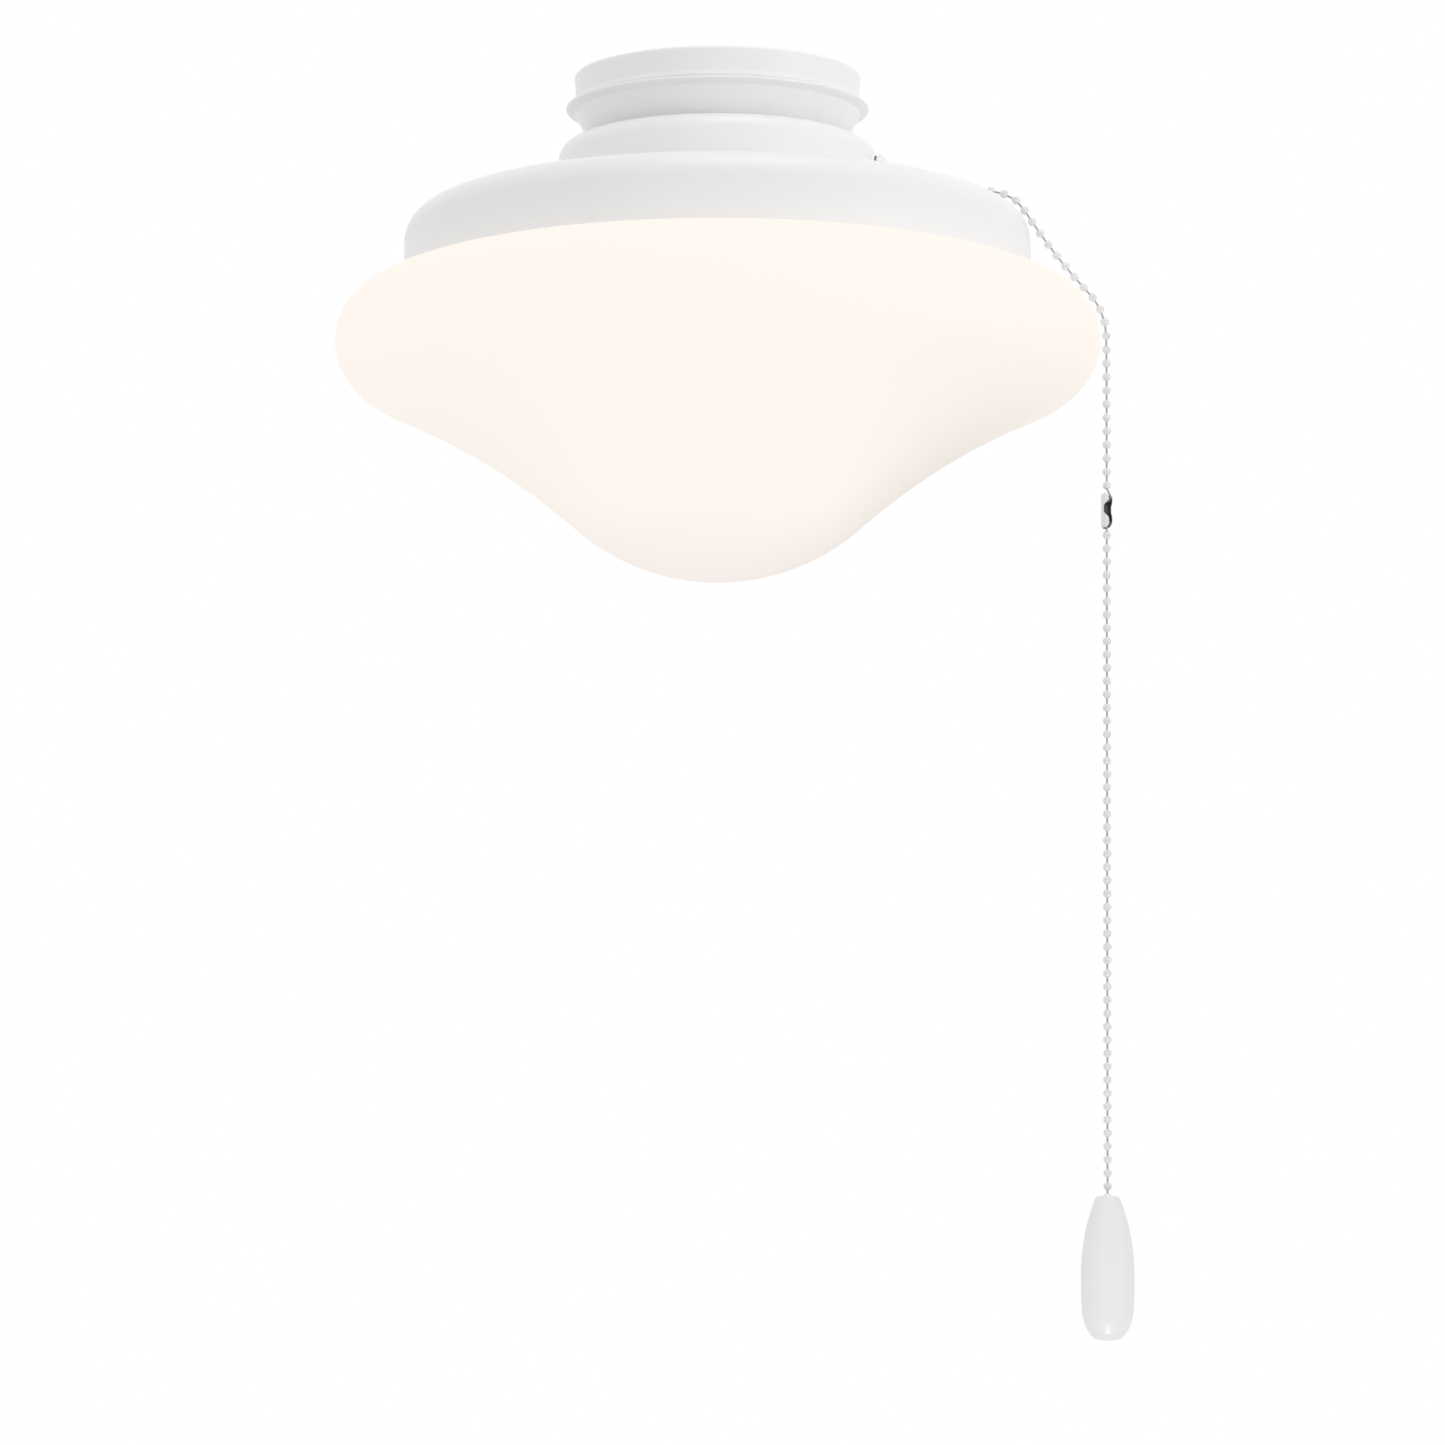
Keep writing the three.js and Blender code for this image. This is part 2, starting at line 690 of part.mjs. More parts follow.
function shadeOutline() {
  const shoulderZ = -equatorDrop + shoulderArcRadius;
  const filletAt = shadeNeckRadius + shadeNeckFillet;
  const innerNeckRadius = shadeNeckRadius - glassThickness;
  const inner = shadeWall(glassThickness, 3, 2).reverse();
  return [
    ...shadeWall(0, 4, 3),
    ...arc(filletAt, shoulderZ + shadeNeckFillet, shadeNeckFillet, -90, -180, 2),
    [shadeNeckRadius, shadeLipZ],
    [shadeLipRadius, shadeLipZ],
    [shadeLipRadius, shadeRimZ],
    [innerNeckRadius, shadeRimZ],
    [innerNeckRadius, shoulderZ - glassThickness],
    ...inner,
  ];
}

addPiece('glass_shade', cut(
  turned(shadeOutline(), shellSides),
  ...around(clipCount, clipStartDegrees + clipDegrees - notchLeadDegrees, (angle) => sector(
    shadeNeckRadius - notchDepth,
    shadeLipRadius + cutOverrun,
    angle,
    angle + notchDegrees,
    shadeLipZ - notchDepth,
    shadeRimZ + cutOverrun,
  )),
), opalGlass());

// Pull switch: a small box inside the housing, with a sprung drum that the chain turns. It is
// built along +X from the fan's axis, then turned to its place.

const switchFrame = new THREE.Group();
switchFrame.position.set(0, 0, -switchDrop);
switchFrame.rotation.set(0, 0, switchDegrees * degree);
kit.add(switchFrame);

const housingInnerRadius = housingRadius - sheetThickness;
const switchClearance = 5;
const switchDepth = 19;
const switchFront = housingInnerRadius - switchClearance;
const switchBack = switchFront - switchDepth;
const switchHalfWidth = 9;
const switchTop = 9.5;
const switchFoot = -12.5;
const switchWall = 1.6;
const coverThickness = 1.4;
const barrelBoreRadius = 2.6;
const barrelFlangeRadius = 6.4;
const barrelFlangeThickness = 1.2;
const barrelProud = 3.3;
const barrelEnd = housingRadius + barrelProud;
const innerNutThickness = 2.8;
const innerNutCornerRadius = 6.6;
const innerNutSetback = 1.1;
const barrelWasherRadius = 5.3;
const barrelWasherThickness = 1;
const barrelNutRadius = 5.5;
const barrelNutTipRadius = 5;
const barrelNutThickness = 2;
const drumRadius = 3.2;
const drumHalfWidth = 3.5;
const drumSetback = 10.5;
const drumAt = switchFront - drumSetback;
const axleRadius = 1.2;
const springRadius = 3;
const springWidth = 2;
const terminalThickness = 0.8;
const terminalWidth = 4;

const chainLineRadius = drumRadius + seatGap + chainBeadRadius;
const drumZ = -chainLineRadius;
const alongX = (geometry) => geometry.rotateY(Math.PI / 2);
const cavityFront = switchFront - switchWall;
const cavityHalfWidth = switchHalfWidth - switchWall;
const barrelStart = cavityFront - seatGap - barrelFlangeThickness;

addPiece('switch_body', cut(
  block([switchBack, -switchHalfWidth, switchFoot], [switchFront, switchHalfWidth, switchTop]),
  block(
    [switchBack - cutOverrun, -cavityHalfWidth, switchFoot + switchWall],
    [cavityFront, cavityHalfWidth, switchTop - switchWall],
  ),
  alongX(rod(barrelRadius + seatGap, cavityFront - cutOverrun, switchFront + cutOverrun)),
), blackPlastic(), switchFrame);

addPiece('switch_cover', block(
  [switchBack - seatGap - coverThickness, -switchHalfWidth, switchFoot],
  [switchBack - seatGap, switchHalfWidth, switchTop],
), finish(0x8a5a32, 0.6, 0), switchFrame);

addPiece('switch_barrel', alongX(turned([
  [barrelBoreRadius, barrelStart],
  [barrelFlangeRadius, barrelStart],
  [barrelFlangeRadius, barrelStart + barrelFlangeThickness],
  [barrelRadius, barrelStart + barrelFlangeThickness],
  [barrelRadius, barrelEnd],
  [barrelBoreRadius, barrelEnd],
])), zincSteel(), switchFrame);

const innerNutEnd = housingInnerRadius - innerNutSetback;
addPiece('barrel_inner_nut', alongX(hexNut(
  barrelRadius + seatGap, innerNutCornerRadius, innerNutEnd - innerNutThickness, innerNutEnd,
)), zincSteel(), switchFrame);

const barrelWasherStart = housingRadius + seatGap;
addPiece('barrel_washer', alongX(ring(
  barrelRadius + seatGap, barrelWasherRadius, barrelWasherStart, barrelWasherStart + barrelWasherThickness,
)), darkSteel(), switchFrame);

const barrelNutStart = barrelWasherStart + barrelWasherThickness + seatGap;
const barrelNutEnd = barrelNutStart + barrelNutThickness;
addPiece('barrel_nut', alongX(turned([
  [barrelRadius + seatGap, barrelNutStart],
  [barrelNutRadius, barrelNutStart],
  [barrelNutTipRadius, barrelNutEnd],
  [barrelRadius + seatGap, barrelNutEnd],
])), whitePaint(), switchFrame);

const drumFrame = new THREE.Group();
drumFrame.position.set(drumAt, 0, drumZ);
drumFrame.rotation.set(-Math.PI / 2, 0, 0);
switchFrame.add(drumFrame);

const axleHalfLength = cavityHalfWidth - seatGap;
addPiece('switch_drum', join(
  rod(drumRadius, -drumHalfWidth, drumHalfWidth),
  rod(axleRadius, -axleHalfLength, axleHalfLength, screwSides),
), plainWhite(), drumFrame);
addPiece('return_spring', ring(
  axleRadius + runningGap, springRadius,
  drumHalfWidth + seatGap, drumHalfWidth + seatGap + springWidth,
), darkSteel(), drumFrame);

const contactFootZ = switchFoot + switchWall + seatGap;
const contactRiseZ = drumZ - drumRadius - runningGap - terminalThickness;
addPiece('switch_contact', join(
  block(
    [switchBack + seatGap, -terminalWidth, contactFootZ],
    [drumAt, terminalWidth, contactFootZ + terminalThickness],
  ),
  block(
    [switchBack + seatGap, -terminalWidth, contactFootZ],
    [switchBack + seatGap + terminalThickness, terminalWidth, contactRiseZ],
  ),
), brass(), switchFrame);

// Leads and their splices

const leadRadius = 0.9;
const wiringSpan = 60;
const nutMouthRadius = 5.2;
const nutTipRadius = 3.2;
const wireNutLength = 17;
const wireNutWall = 1.1;
const wireNutStart = 9;
const wireNutY = 28;
const wireNutDrop = 42;
const spliceDepth = 7;

function wireNut(side) {
  const outline = [
    [0, wireNutLength],
    [nutTipRadius, wireNutLength],
    [nutMouthRadius, 0],
    [nutMouthRadius - wireNutWall, 0],
    [nutMouthRadius - wireNutWall, spliceDepth],
    [0, spliceDepth],
  ];
  return turned(outline, screwSides)
    .rotateY(side * Math.PI / 2)
    .translate(side * wireNutStart, wireNutY, -wireNutDrop);
}

addPiece('wire_nut_white', wireNut(-1), finish(0xe9e4da, 0.5, 0));
addPiece('wire_nut_black', wireNut(1), finish(0xd9862e, 0.5, 0));

const plugLow = [-2, -27, -23.9];
const plugHigh = [18, -17, -14.9];
addPiece('fan_plug', block(plugLow, plugHigh), finish(0xf4f4f0, 0.5, 0));

// A point behind the switch's back, as a route's point
function behindSwitch(backShare, sideShare, riseShare) {
  return new THREE.Vector3(switchBack / wiringSpan - backShare, sideShare, riseShare)
    .applyAxisAngle(new THREE.Vector3(0, 0, 1), switchDegrees * degree)
    .toArray();
}

function lead(name, routeShares, colour, steps = 14) {
  const route = routeShares.map((point) => point.map((share) => share * wiringSpan));
  addPiece(name, tube(smoothCurve(route), leadRadius, steps), finish(colour, 0.5, 0));
}

const black = 0x1d1d20;
const white = 0xf0f0ee;
const green = 0x2c8a4a;

// Each route is a list of shares of the wiring span, and starts at its outer end. The plug's
// leads pass the neck grommet together.
lead('supply_lead_black', [
  [-0.0383, -0.32, -0.3], [-0.1333, -0.32, -0.3], [-0.2667, -0.2917, -0.3],
  [-0.3833, -0.2, -0.3083], [-0.45, -0.0833, -0.325],
  [-0.4633, -0.0267, -0.3833], [-0.4633, -0.0267, -0.5], [-0.4083, -0.1, -0.5917],
  [-0.2333, -0.2333, -0.6333], [0, -0.2667, -0.65],
  [0.2333, -0.2567, -0.66], behindSwitch(0.15, -0.108, -0.6667), behindSwitch(0.0375, -0.083, -0.6667),
], black, 16);
lead('supply_lead_white', [
  [-0.0383, -0.365, -0.3], [-0.1333, -0.3667, -0.3], [-0.2833, -0.3433, -0.3],
  [-0.42, -0.2267, -0.3033], [-0.4667, -0.1083, -0.2983],
  [-0.425, 0.0033, -0.3167], [-0.41, 0.0267, -0.3833], [-0.41, 0.0267, -0.5],
  [-0.35, 0.1083, -0.5833], [-0.2, 0.2417, -0.6417],
  [-0.075, 0.325, -0.6667], [-0.0133, 0.3883, -0.67], [-0.0367, 0.4367, -0.67],
  [-0.1, 0.44, -0.67], [-0.175, 0.44, -0.67],
], white, 22);
lead('ground_lead', [
  [-0.0383, -0.41, -0.3], [-0.1333, -0.4133, -0.3], [-0.25, -0.4233, -0.31],
  [-0.3667, -0.42, -0.3433],
  [-0.4433, -0.3767, -0.3767], [-0.4617, -0.3433, -0.3817],
], green);
lead('switched_lead', [
  behindSwitch(0.042, 0.067, -0.7167), behindSwitch(0.135, 0.095, -0.725), [0.3, 0.1333, -0.7417],
  [0.1667, 0.25, -0.7533], [0.075, 0.3417, -0.7333],
  [0.0433, 0.4, -0.7067], [0.08, 0.4333, -0.6917], [0.175, 0.4333, -0.6917],
], black, 16);

// The four lamp leads leave the sides of the lampholders, pass the pan grommet together and end
// in the wire nuts.
lead('lamp_lead_white_left', [
  [-0.2767, 0.315, -1.22], [-0.28, 0.3583, -1.2067], [-0.2333, 0.4333, -1.1],
  [-0.1, 0.4567, -1.05], [-0.035, 0.4433, -1.0083],
  [-0.0283, 0.4383, -0.95], [-0.0283, 0.4383, -0.8333], [-0.0433, 0.44, -0.7667],
  [-0.0917, 0.4417, -0.7333], [-0.175, 0.4433, -0.7233],
], white, 16);
lead('lamp_lead_black_left', [
  [-0.3433, 0.3233, -1.3267], [-0.3533, 0.37, -1.31], [-0.3, 0.4833, -1.1583],
  [-0.125, 0.5267, -1.07],
  [-0.0367, 0.505, -1.0167], [-0.0283, 0.4967, -0.95], [-0.0283, 0.4967, -0.8417],
  [-0.015, 0.52, -0.7933],
  [0.03, 0.5367, -0.7667], [0.0917, 0.5217, -0.7367], [0.175, 0.5, -0.7167],
], black, 18);
lead('lamp_lead_white_right', [
  [0.2767, 0.315, -1.22], [0.28, 0.3583, -1.2067], [0.225, 0.4167, -1.1083],
  [0.1083, 0.4433, -1.05], [0.035, 0.44, -1.0083],
  [0.0283, 0.4383, -0.95], [0.0283, 0.4383, -0.8333], [0.0267, 0.4433, -0.75],
  [0.0033, 0.4667, -0.7033], [-0.06, 0.5, -0.69],
  [-0.175, 0.5033, -0.695],
], white, 18);
lead('lamp_lead_black_right', [
  [0.3433, 0.3233, -1.3267], [0.3533, 0.37, -1.31], [0.2917, 0.4833, -1.1583],
  [0.1333, 0.52, -1.0733], [0.0367, 0.505, -1.0167],
  [0.0283, 0.4967, -0.95], [0.0283, 0.4967, -0.8417], [0.04, 0.4867, -0.7967],
  [0.0833, 0.4667, -0.7567], [0.175, 0.46, -0.7367],
], black, 16);

// Ball chain: hollow beads crimped on a wire. A length of it is turned along Z, and the stretch
// over the pan and the shade is that length bent along its route.

const linkRadius = 0.45;
const beadShares = [[-0.84, 0], [-0.42, 0.95], [0.42, 0.95], [0.84, 0]];

function chainOutline(length) {
  const count = Math.max(1, Math.round(length / chainPitch));
  const pitch = length / count;
  const beads = Array.from({ length: count }, (_, i) => beadShares.map(([along, swell]) => [
    linkRadius + (chainBeadRadius - linkRadius) * swell,
    (i + 0.5) * pitch + along * chainBeadRadius,
  ])).flat();
  return [[0, 0], [linkRadius, 0], ...beads, [linkRadius, length], [0, length]];
}

function straightChain(fromZ, toZ) {
  return turned(chainOutline(fromZ - toZ), wireSides).translate(0, 0, toZ);
}

function bentChain(curve) {
  const length = curve.getLength();
  const geometry = turned(chainOutline(length), wireSides);
  const frameCount = 400;
  const frames = curve.computeFrenetFrames(frameCount);
  const position = geometry.getAttribute('position');
  for (let i = 0; i < position.count; i += 1) {
    const share = THREE.MathUtils.clamp(position.getZ(i) / length, 0, 1);
    const nearest = Math.round(share * frameCount);
    const point = curve.getPointAt(share)
      .addScaledVector(frames.normals[nearest], position.getX(i))
      .addScaledVector(frames.binormals[nearest], position.getY(i));
    position.setXYZ(i, point.x, point.y, point.z);
  }
  return geometry;
}

// The chain leaves the drum, passes the barrel, is drawn past the pan's shoulder and over the shade's
// shoulder, and then hangs. In section the two shoulders are circles that it touches.
const chainRest = chainBeadRadius + chainGap;
const panTouch = {
  radius: panShoulderRadius + chainRest,
  at: new THREE.Vector2(panRadius - panShoulderRadius, -panDrop - panShoulderRadius),
};
const shadeTouch = {
  radius: shoulderArcRadius + chainRest + runningGap,
  at: new THREE.Vector2(shadeRadius - shoulderArcRadius, -equatorDrop),
};
const chainStart = drumAt + chainGap * 3;
const chainSag = 1.1;
const chainTurnDrop = 10;
const hangDegrees = -2;
const dropTop = equatorDrop + 3 * chainPitch;
const chainHangRadius = (shadeTouch.at.x + shadeTouch.radius) * Math.cos(hangDegrees * degree);
const chainHangOffset = -(shadeTouch.at.x + shadeTouch.radius) * Math.sin(hangDegrees * degree);

function onCircle(circle, angle) {
  return new THREE.Vector2(
    circle.at.x + circle.radius * Math.cos(angle),
    circle.at.y + circle.radius * Math.sin(angle),
  );
}

// Between the outlet and the pan's shoulder the chain is stiff enough to stand in a low bow. Each
// pair gives a share of the way and the rise above the straight line as a share of its length.
const chainBowShares = [
  [0.142, 0.013], [0.296, 0.011], [0.45, 0.009], [0.582, 0.017],
  [0.671, 0.037], [0.759, 0.065], [0.851, 0.064], [0.937, 0.043],
];

function chainSection() {
  const leaving = new THREE.Vector2(barrelEnd + chainBeadRadius, -switchDrop);
  const between = shadeTouch.at.clone().sub(panTouch.at);
  const spread = (panTouch.radius - shadeTouch.radius) / between.length();
  const leavePan = Math.acos(spread) + between.angle() - 2 * Math.PI;
  const panPoint = onCircle(panTouch, leavePan);
  const reach = panPoint.clone().sub(leaving);
  const across = new THREE.Vector2(-reach.y, reach.x);
  const bow = chainBowShares.map(([along, rise]) => (
    leaving.clone().addScaledVector(reach, along).addScaledVector(across, rise)
  ));
  const shadePoints = Array.from({ length: 8 }, (_, i) => onCircle(shadeTouch, leavePan * (1 - i / 7)));
  const inward = new THREE.Vector2(-Math.cos(leavePan), -Math.sin(leavePan));
  const sagging = [0.25, 0.5, 0.75].map((share) => (
    panPoint.clone().lerp(shadePoints[0], share).addScaledVector(inward, chainSag * Math.sin(Math.PI * share))
  ));
  const straight = [0, 0.35, 0.7].map((share) => (
    new THREE.Vector2(chainStart + (leaving.x - chainStart) * share, leaving.y)
  ));
  const hanging = [0.5, 1].map((share) => (
    new THREE.Vector2(shadePoints.at(-1).x, -equatorDrop - (dropTop - equatorDrop) * share)
  ));
  return [...straight, leaving, ...bow, panPoint, ...sagging, ...shadePoints, ...hanging];
}

// Seen from above, the chain turns from the barrel's direction towards its hanging place.
function chainRoute() {
  const turnStartZ = onCircle(panTouch, Math.PI / 4).y;
  const turnEndZ = -equatorDrop - chainTurnDrop;
  return chainSection().map(({ x: radius, y: z }) => {
    const turn = THREE.MathUtils.clamp((turnStartZ - z) / (turnStartZ - turnEndZ), 0, 1);
    const angle = (switchDegrees + (hangDegrees - switchDegrees) * turn) * degree;
    return [radius * Math.cos(angle), radius * Math.sin(angle), z];
  });
}

addPiece('chain_over_pan', bentChain(smoothCurve(chainRoute())), plainWhite());

const pivotDrop = 157.8;
const couplingDrop = 167.6;
const couplingLength = 13.2;
const couplingRadius = 2.15;
const couplingWall = 0.3;
const couplingBeadRadius = 1.5;
const couplingSlitDegrees = 66;
const couplingWindowDegrees = 160;
const couplingWindowShare = 0.36;
const couplingFacingDegrees = -41;
const couplingEndRadius = 1.1;
const lowerChainEndDrop = 433.9;
const hang = (geometry) => geometry.translate(chainHangRadius, -chainHangOffset, 0);

function dropOutline() {
  const topZ = -dropTop - seatGap;
  const lastBead = beadShares.map(([along, swell]) => [
    linkRadius + (chainBeadRadius - linkRadius) * swell,
    -pivotDrop - along * chainBeadRadius,
  ]);
  const plainEnd = -pivotDrop + chainPitch / 2;
  const upper = chainOutline(topZ - plainEnd)
    .slice(0, -1)
    .map(([radius, z]) => [radius, topZ - z]);
  return [...upper, ...lastBead.slice(0, -1), [0, -pivotDrop - chainBeadRadius]];
}
addPiece('chain_drop', hang(turned(dropOutline(), wireSides)), plainWhite());

// Coupling: a rolled clip with a slot down one side, which holds a bead of each chain
const couplingTopZ = -couplingDrop + couplingLength / 2;
const couplingFootZ = -couplingDrop - couplingLength / 2;

function couplingShell() {
  const inner = couplingRadius - couplingWall;
  const facing = couplingFacingDegrees;
  const halfWindow = couplingLength * couplingWindowShare / 2;
  const opening = (degrees, fromZ, toZ) => sector(
    linkRadius, couplingRadius + cutOverrun, facing - degrees / 2, facing + degrees / 2, fromZ, toZ, 4,
  );
  return cut(
    turned([
      [couplingEndRadius, couplingFootZ],
      [couplingRadius, couplingFootZ],
      [couplingRadius, couplingTopZ],
      [couplingEndRadius, couplingTopZ],
      [couplingEndRadius, couplingTopZ - couplingWall],
      [inner, couplingTopZ - couplingWall],
      [inner, couplingFootZ + couplingWall],
      [couplingEndRadius, couplingFootZ + couplingWall],
    ], smallSides),
    opening(couplingSlitDegrees, couplingFootZ - cutOverrun, couplingTopZ + cutOverrun),
    opening(couplingWindowDegrees, -couplingDrop - halfWindow, -couplingDrop + halfWindow),
  );
}
addPiece('chain_coupling', hang(couplingShell()), whitePaint());

const fobTopDrop = 429.8;
const fobLength = 53.3;
const fobRadius = 10;
const fobBoreRadius = 1.8;
const fobBoreDepth = 8.5;
const ferruleRadius = fobBoreRadius - seatGap;
const ferruleCapRadius = fobBoreRadius + seatGap;
const ferruleCapHeight = 1.1;
const ferruleStem = 2;
const ferruleBoreRadius = linkRadius + seatGap;
const ferruleSeatZ = -fobTopDrop + seatGap;
const ferruleTopZ = ferruleSeatZ + ferruleCapHeight;

// Lower chain: the short link and bead that hang from the pivot bead into the coupling, and the
// long stretch from the coupling down into the fob
const upperBeadZ = couplingTopZ - chainPitch / 2 + chainBeadRadius / 4;
const lowerBeadZ = couplingFootZ + chainPitch / 2 - chainBeadRadius / 4;

function beadPoints(centreZ, radius, rising) {
  const points = beadShares.map(([along, swell]) => [
    linkRadius + (radius - linkRadius) * swell,
    centreZ + along * radius,
  ]);
  return rising ? points : points.reverse();
}

const shortLink = turned([
  [0, -pivotDrop - chainBeadRadius - seatGap],
  [linkRadius, -pivotDrop - chainBeadRadius - seatGap],
  ...beadPoints(upperBeadZ, couplingBeadRadius, false).slice(0, -1),
  [0, upperBeadZ - couplingBeadRadius],
], wireSides);

function longLowerOutline() {
  const runTop = lowerBeadZ - chainPitch / 2;
  const runFoot = ferruleTopZ + seatGap + chainBeadRadius - chainPitch / 2;
  const run = chainOutline(runTop - runFoot).slice(1, -1).map(([radius, z]) => [radius, runTop - z]);
  return [
    [0, lowerBeadZ + couplingBeadRadius],
    ...beadPoints(lowerBeadZ, couplingBeadRadius, false).slice(1),
    ...run,
    ...beadPoints(-lowerChainEndDrop, couplingBeadRadius, false).slice(0, -1),
    [0, -lowerChainEndDrop - couplingBeadRadius],
  ];
}
addPiece('chain_end_link', hang(shortLink), plainWhite());
addPiece('chain_lower', hang(turned(longLowerOutline(), wireSides)), plainWhite());

// Fob: a turned pull with a ferrule that traps the chain's last bead in its bore.
// The outline's shares of the radius and of the length, from the foot up
const fobShares = [
  [0.52, 0], [0.59, 0.011], [0.784, 0.06], [0.896, 0.116], [0.965, 0.18], [0.992, 0.283],
  [1, 0.35], [1, 0.452], [0.975, 0.568], [0.94, 0.634], [0.85, 0.749], [0.78, 0.809],
  [0.695, 0.865], [0.51, 0.972], [0.46, 0.989], [0.435, 1],
];

function fobOutline() {
  const topZ = -fobTopDrop;
  const footZ = topZ - fobLength;
  const side = fobShares.map(([width, rise]) => [fobRadius * width, footZ + fobLength * rise]);
  return [
    [0, footZ],
    ...side,
    [fobBoreRadius, topZ],
    [fobBoreRadius, topZ - fobBoreDepth],
    [0, topZ - fobBoreDepth],
  ];
}
addPiece('fob', hang(turned(fobOutline(), smallSides)), plainWhite());

addPiece('fob_ferrule', hang(turned([
  [ferruleBoreRadius, -fobTopDrop - ferruleStem],
  [ferruleRadius, -fobTopDrop - ferruleStem],
  [ferruleRadius, ferruleSeatZ],
  [ferruleCapRadius, ferruleSeatZ],
  [ferruleBoreRadius + seatGap, ferruleTopZ],
  [ferruleBoreRadius, ferruleTopZ],
], screwSides)), whitePaint());

export default kit;
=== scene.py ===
# %% [markdown]
# # A white ceiling fan light kit
#
# It has a neck cup, a round switch housing, a wide pan with a lit opal bowl, and a ball chain that
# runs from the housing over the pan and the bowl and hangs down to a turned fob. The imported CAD
# parts are the frame, and each cell below adds the finer shapes or the finish of one real piece.

# %% Load the frame
import json
import math

import bmesh
import bpy
from mathutils import Matrix, Vector
from mathutils.geometry import interpolate_bezier

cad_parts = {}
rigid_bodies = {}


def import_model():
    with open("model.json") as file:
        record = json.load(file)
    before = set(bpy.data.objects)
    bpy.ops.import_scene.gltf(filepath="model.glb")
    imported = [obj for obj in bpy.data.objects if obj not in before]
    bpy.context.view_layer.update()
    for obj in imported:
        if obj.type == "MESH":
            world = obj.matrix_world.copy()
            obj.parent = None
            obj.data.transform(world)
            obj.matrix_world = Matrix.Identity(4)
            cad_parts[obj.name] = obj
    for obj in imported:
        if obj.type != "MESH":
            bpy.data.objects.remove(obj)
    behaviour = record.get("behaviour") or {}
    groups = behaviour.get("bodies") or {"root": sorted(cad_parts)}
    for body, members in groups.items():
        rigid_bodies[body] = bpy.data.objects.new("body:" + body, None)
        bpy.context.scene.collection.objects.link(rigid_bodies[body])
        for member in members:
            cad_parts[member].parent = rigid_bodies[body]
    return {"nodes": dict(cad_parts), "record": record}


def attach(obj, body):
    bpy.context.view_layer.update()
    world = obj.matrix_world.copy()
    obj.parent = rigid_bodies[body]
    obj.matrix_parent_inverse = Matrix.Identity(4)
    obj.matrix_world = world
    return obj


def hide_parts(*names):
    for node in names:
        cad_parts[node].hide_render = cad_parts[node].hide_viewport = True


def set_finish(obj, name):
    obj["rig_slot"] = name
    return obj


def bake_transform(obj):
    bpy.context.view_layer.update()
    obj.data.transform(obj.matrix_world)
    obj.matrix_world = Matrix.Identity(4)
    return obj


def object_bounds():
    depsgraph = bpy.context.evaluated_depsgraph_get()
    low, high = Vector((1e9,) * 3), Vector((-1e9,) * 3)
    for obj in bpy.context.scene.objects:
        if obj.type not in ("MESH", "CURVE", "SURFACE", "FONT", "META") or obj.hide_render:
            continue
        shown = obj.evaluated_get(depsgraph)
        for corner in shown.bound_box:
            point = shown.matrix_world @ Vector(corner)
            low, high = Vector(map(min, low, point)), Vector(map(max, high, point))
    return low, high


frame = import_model()
size_at_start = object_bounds()
MM = 0.001
box = [[round(x, 4) for x in corner] for corner in size_at_start]
print(len(frame["nodes"]), "CAD nodes, box", box)

# %% [markdown]
# ## The view from below
#
# The photograph has hardly any perspective, which a long lens from far away gives.

# %% Place the camera
LOOK_UP = math.radians(12.2)
FIELD_WIDTH = 539.8 * MM
LENS, SENSOR = 1650, 36
AIM = Vector((1.85, 0, -247.4)) * MM

camera = bpy.data.objects.new("camera", bpy.data.cameras.new("camera"))
camera.data.lens = LENS
camera.data.sensor_width = SENSOR
camera.data.clip_end = 40
behind = Vector((0, -math.cos(LOOK_UP), -math.sin(LOOK_UP)))
camera.location = AIM + FIELD_WIDTH * LENS / SENSOR * behind
camera.rotation_euler = (AIM - camera.location).to_track_quat("-Z", "Y").to_euler()
bpy.context.scene.collection.objects.link(camera)
bpy.context.scene.camera = camera
bpy.context.scene.view_settings.view_transform = "Standard"
print("camera at", [round(x, 3) for x in camera.location])

# %% [markdown]
# ## Helpers for shader nodes
#
# A finish is a small graph of nodes. The first class wraps a socket, so that noise and heights can
# be written as sums. The second holds one material and its shader, and places every other node.

# %% Define the shader helpers
GLOSS_DRIFT = 0.1


class Wire:
    """One output socket that can be added, multiplied and subtracted."""

    def __init__(self, finish, socket):
        self.finish, self.socket = finish, socket

    def _math(self, operation, a, b):
        return self.finish.node("ShaderNodeMath", {"operation": operation}, {0: a, 1: b})

    def __add__(self, other):
        return self._math("ADD", self, other)

    def __radd__(self, other):
        return self._math("ADD", other, self)

    def __sub__(self, other):
        return self._math("SUBTRACT", self, other)

    def __rsub__(self, other):
        return self._math("SUBTRACT", other, self)

    def __mul__(self, other):
        return self._math("MULTIPLY", self, other)

    def __rmul__(self, other):
        return self._math("MULTIPLY", other, self)


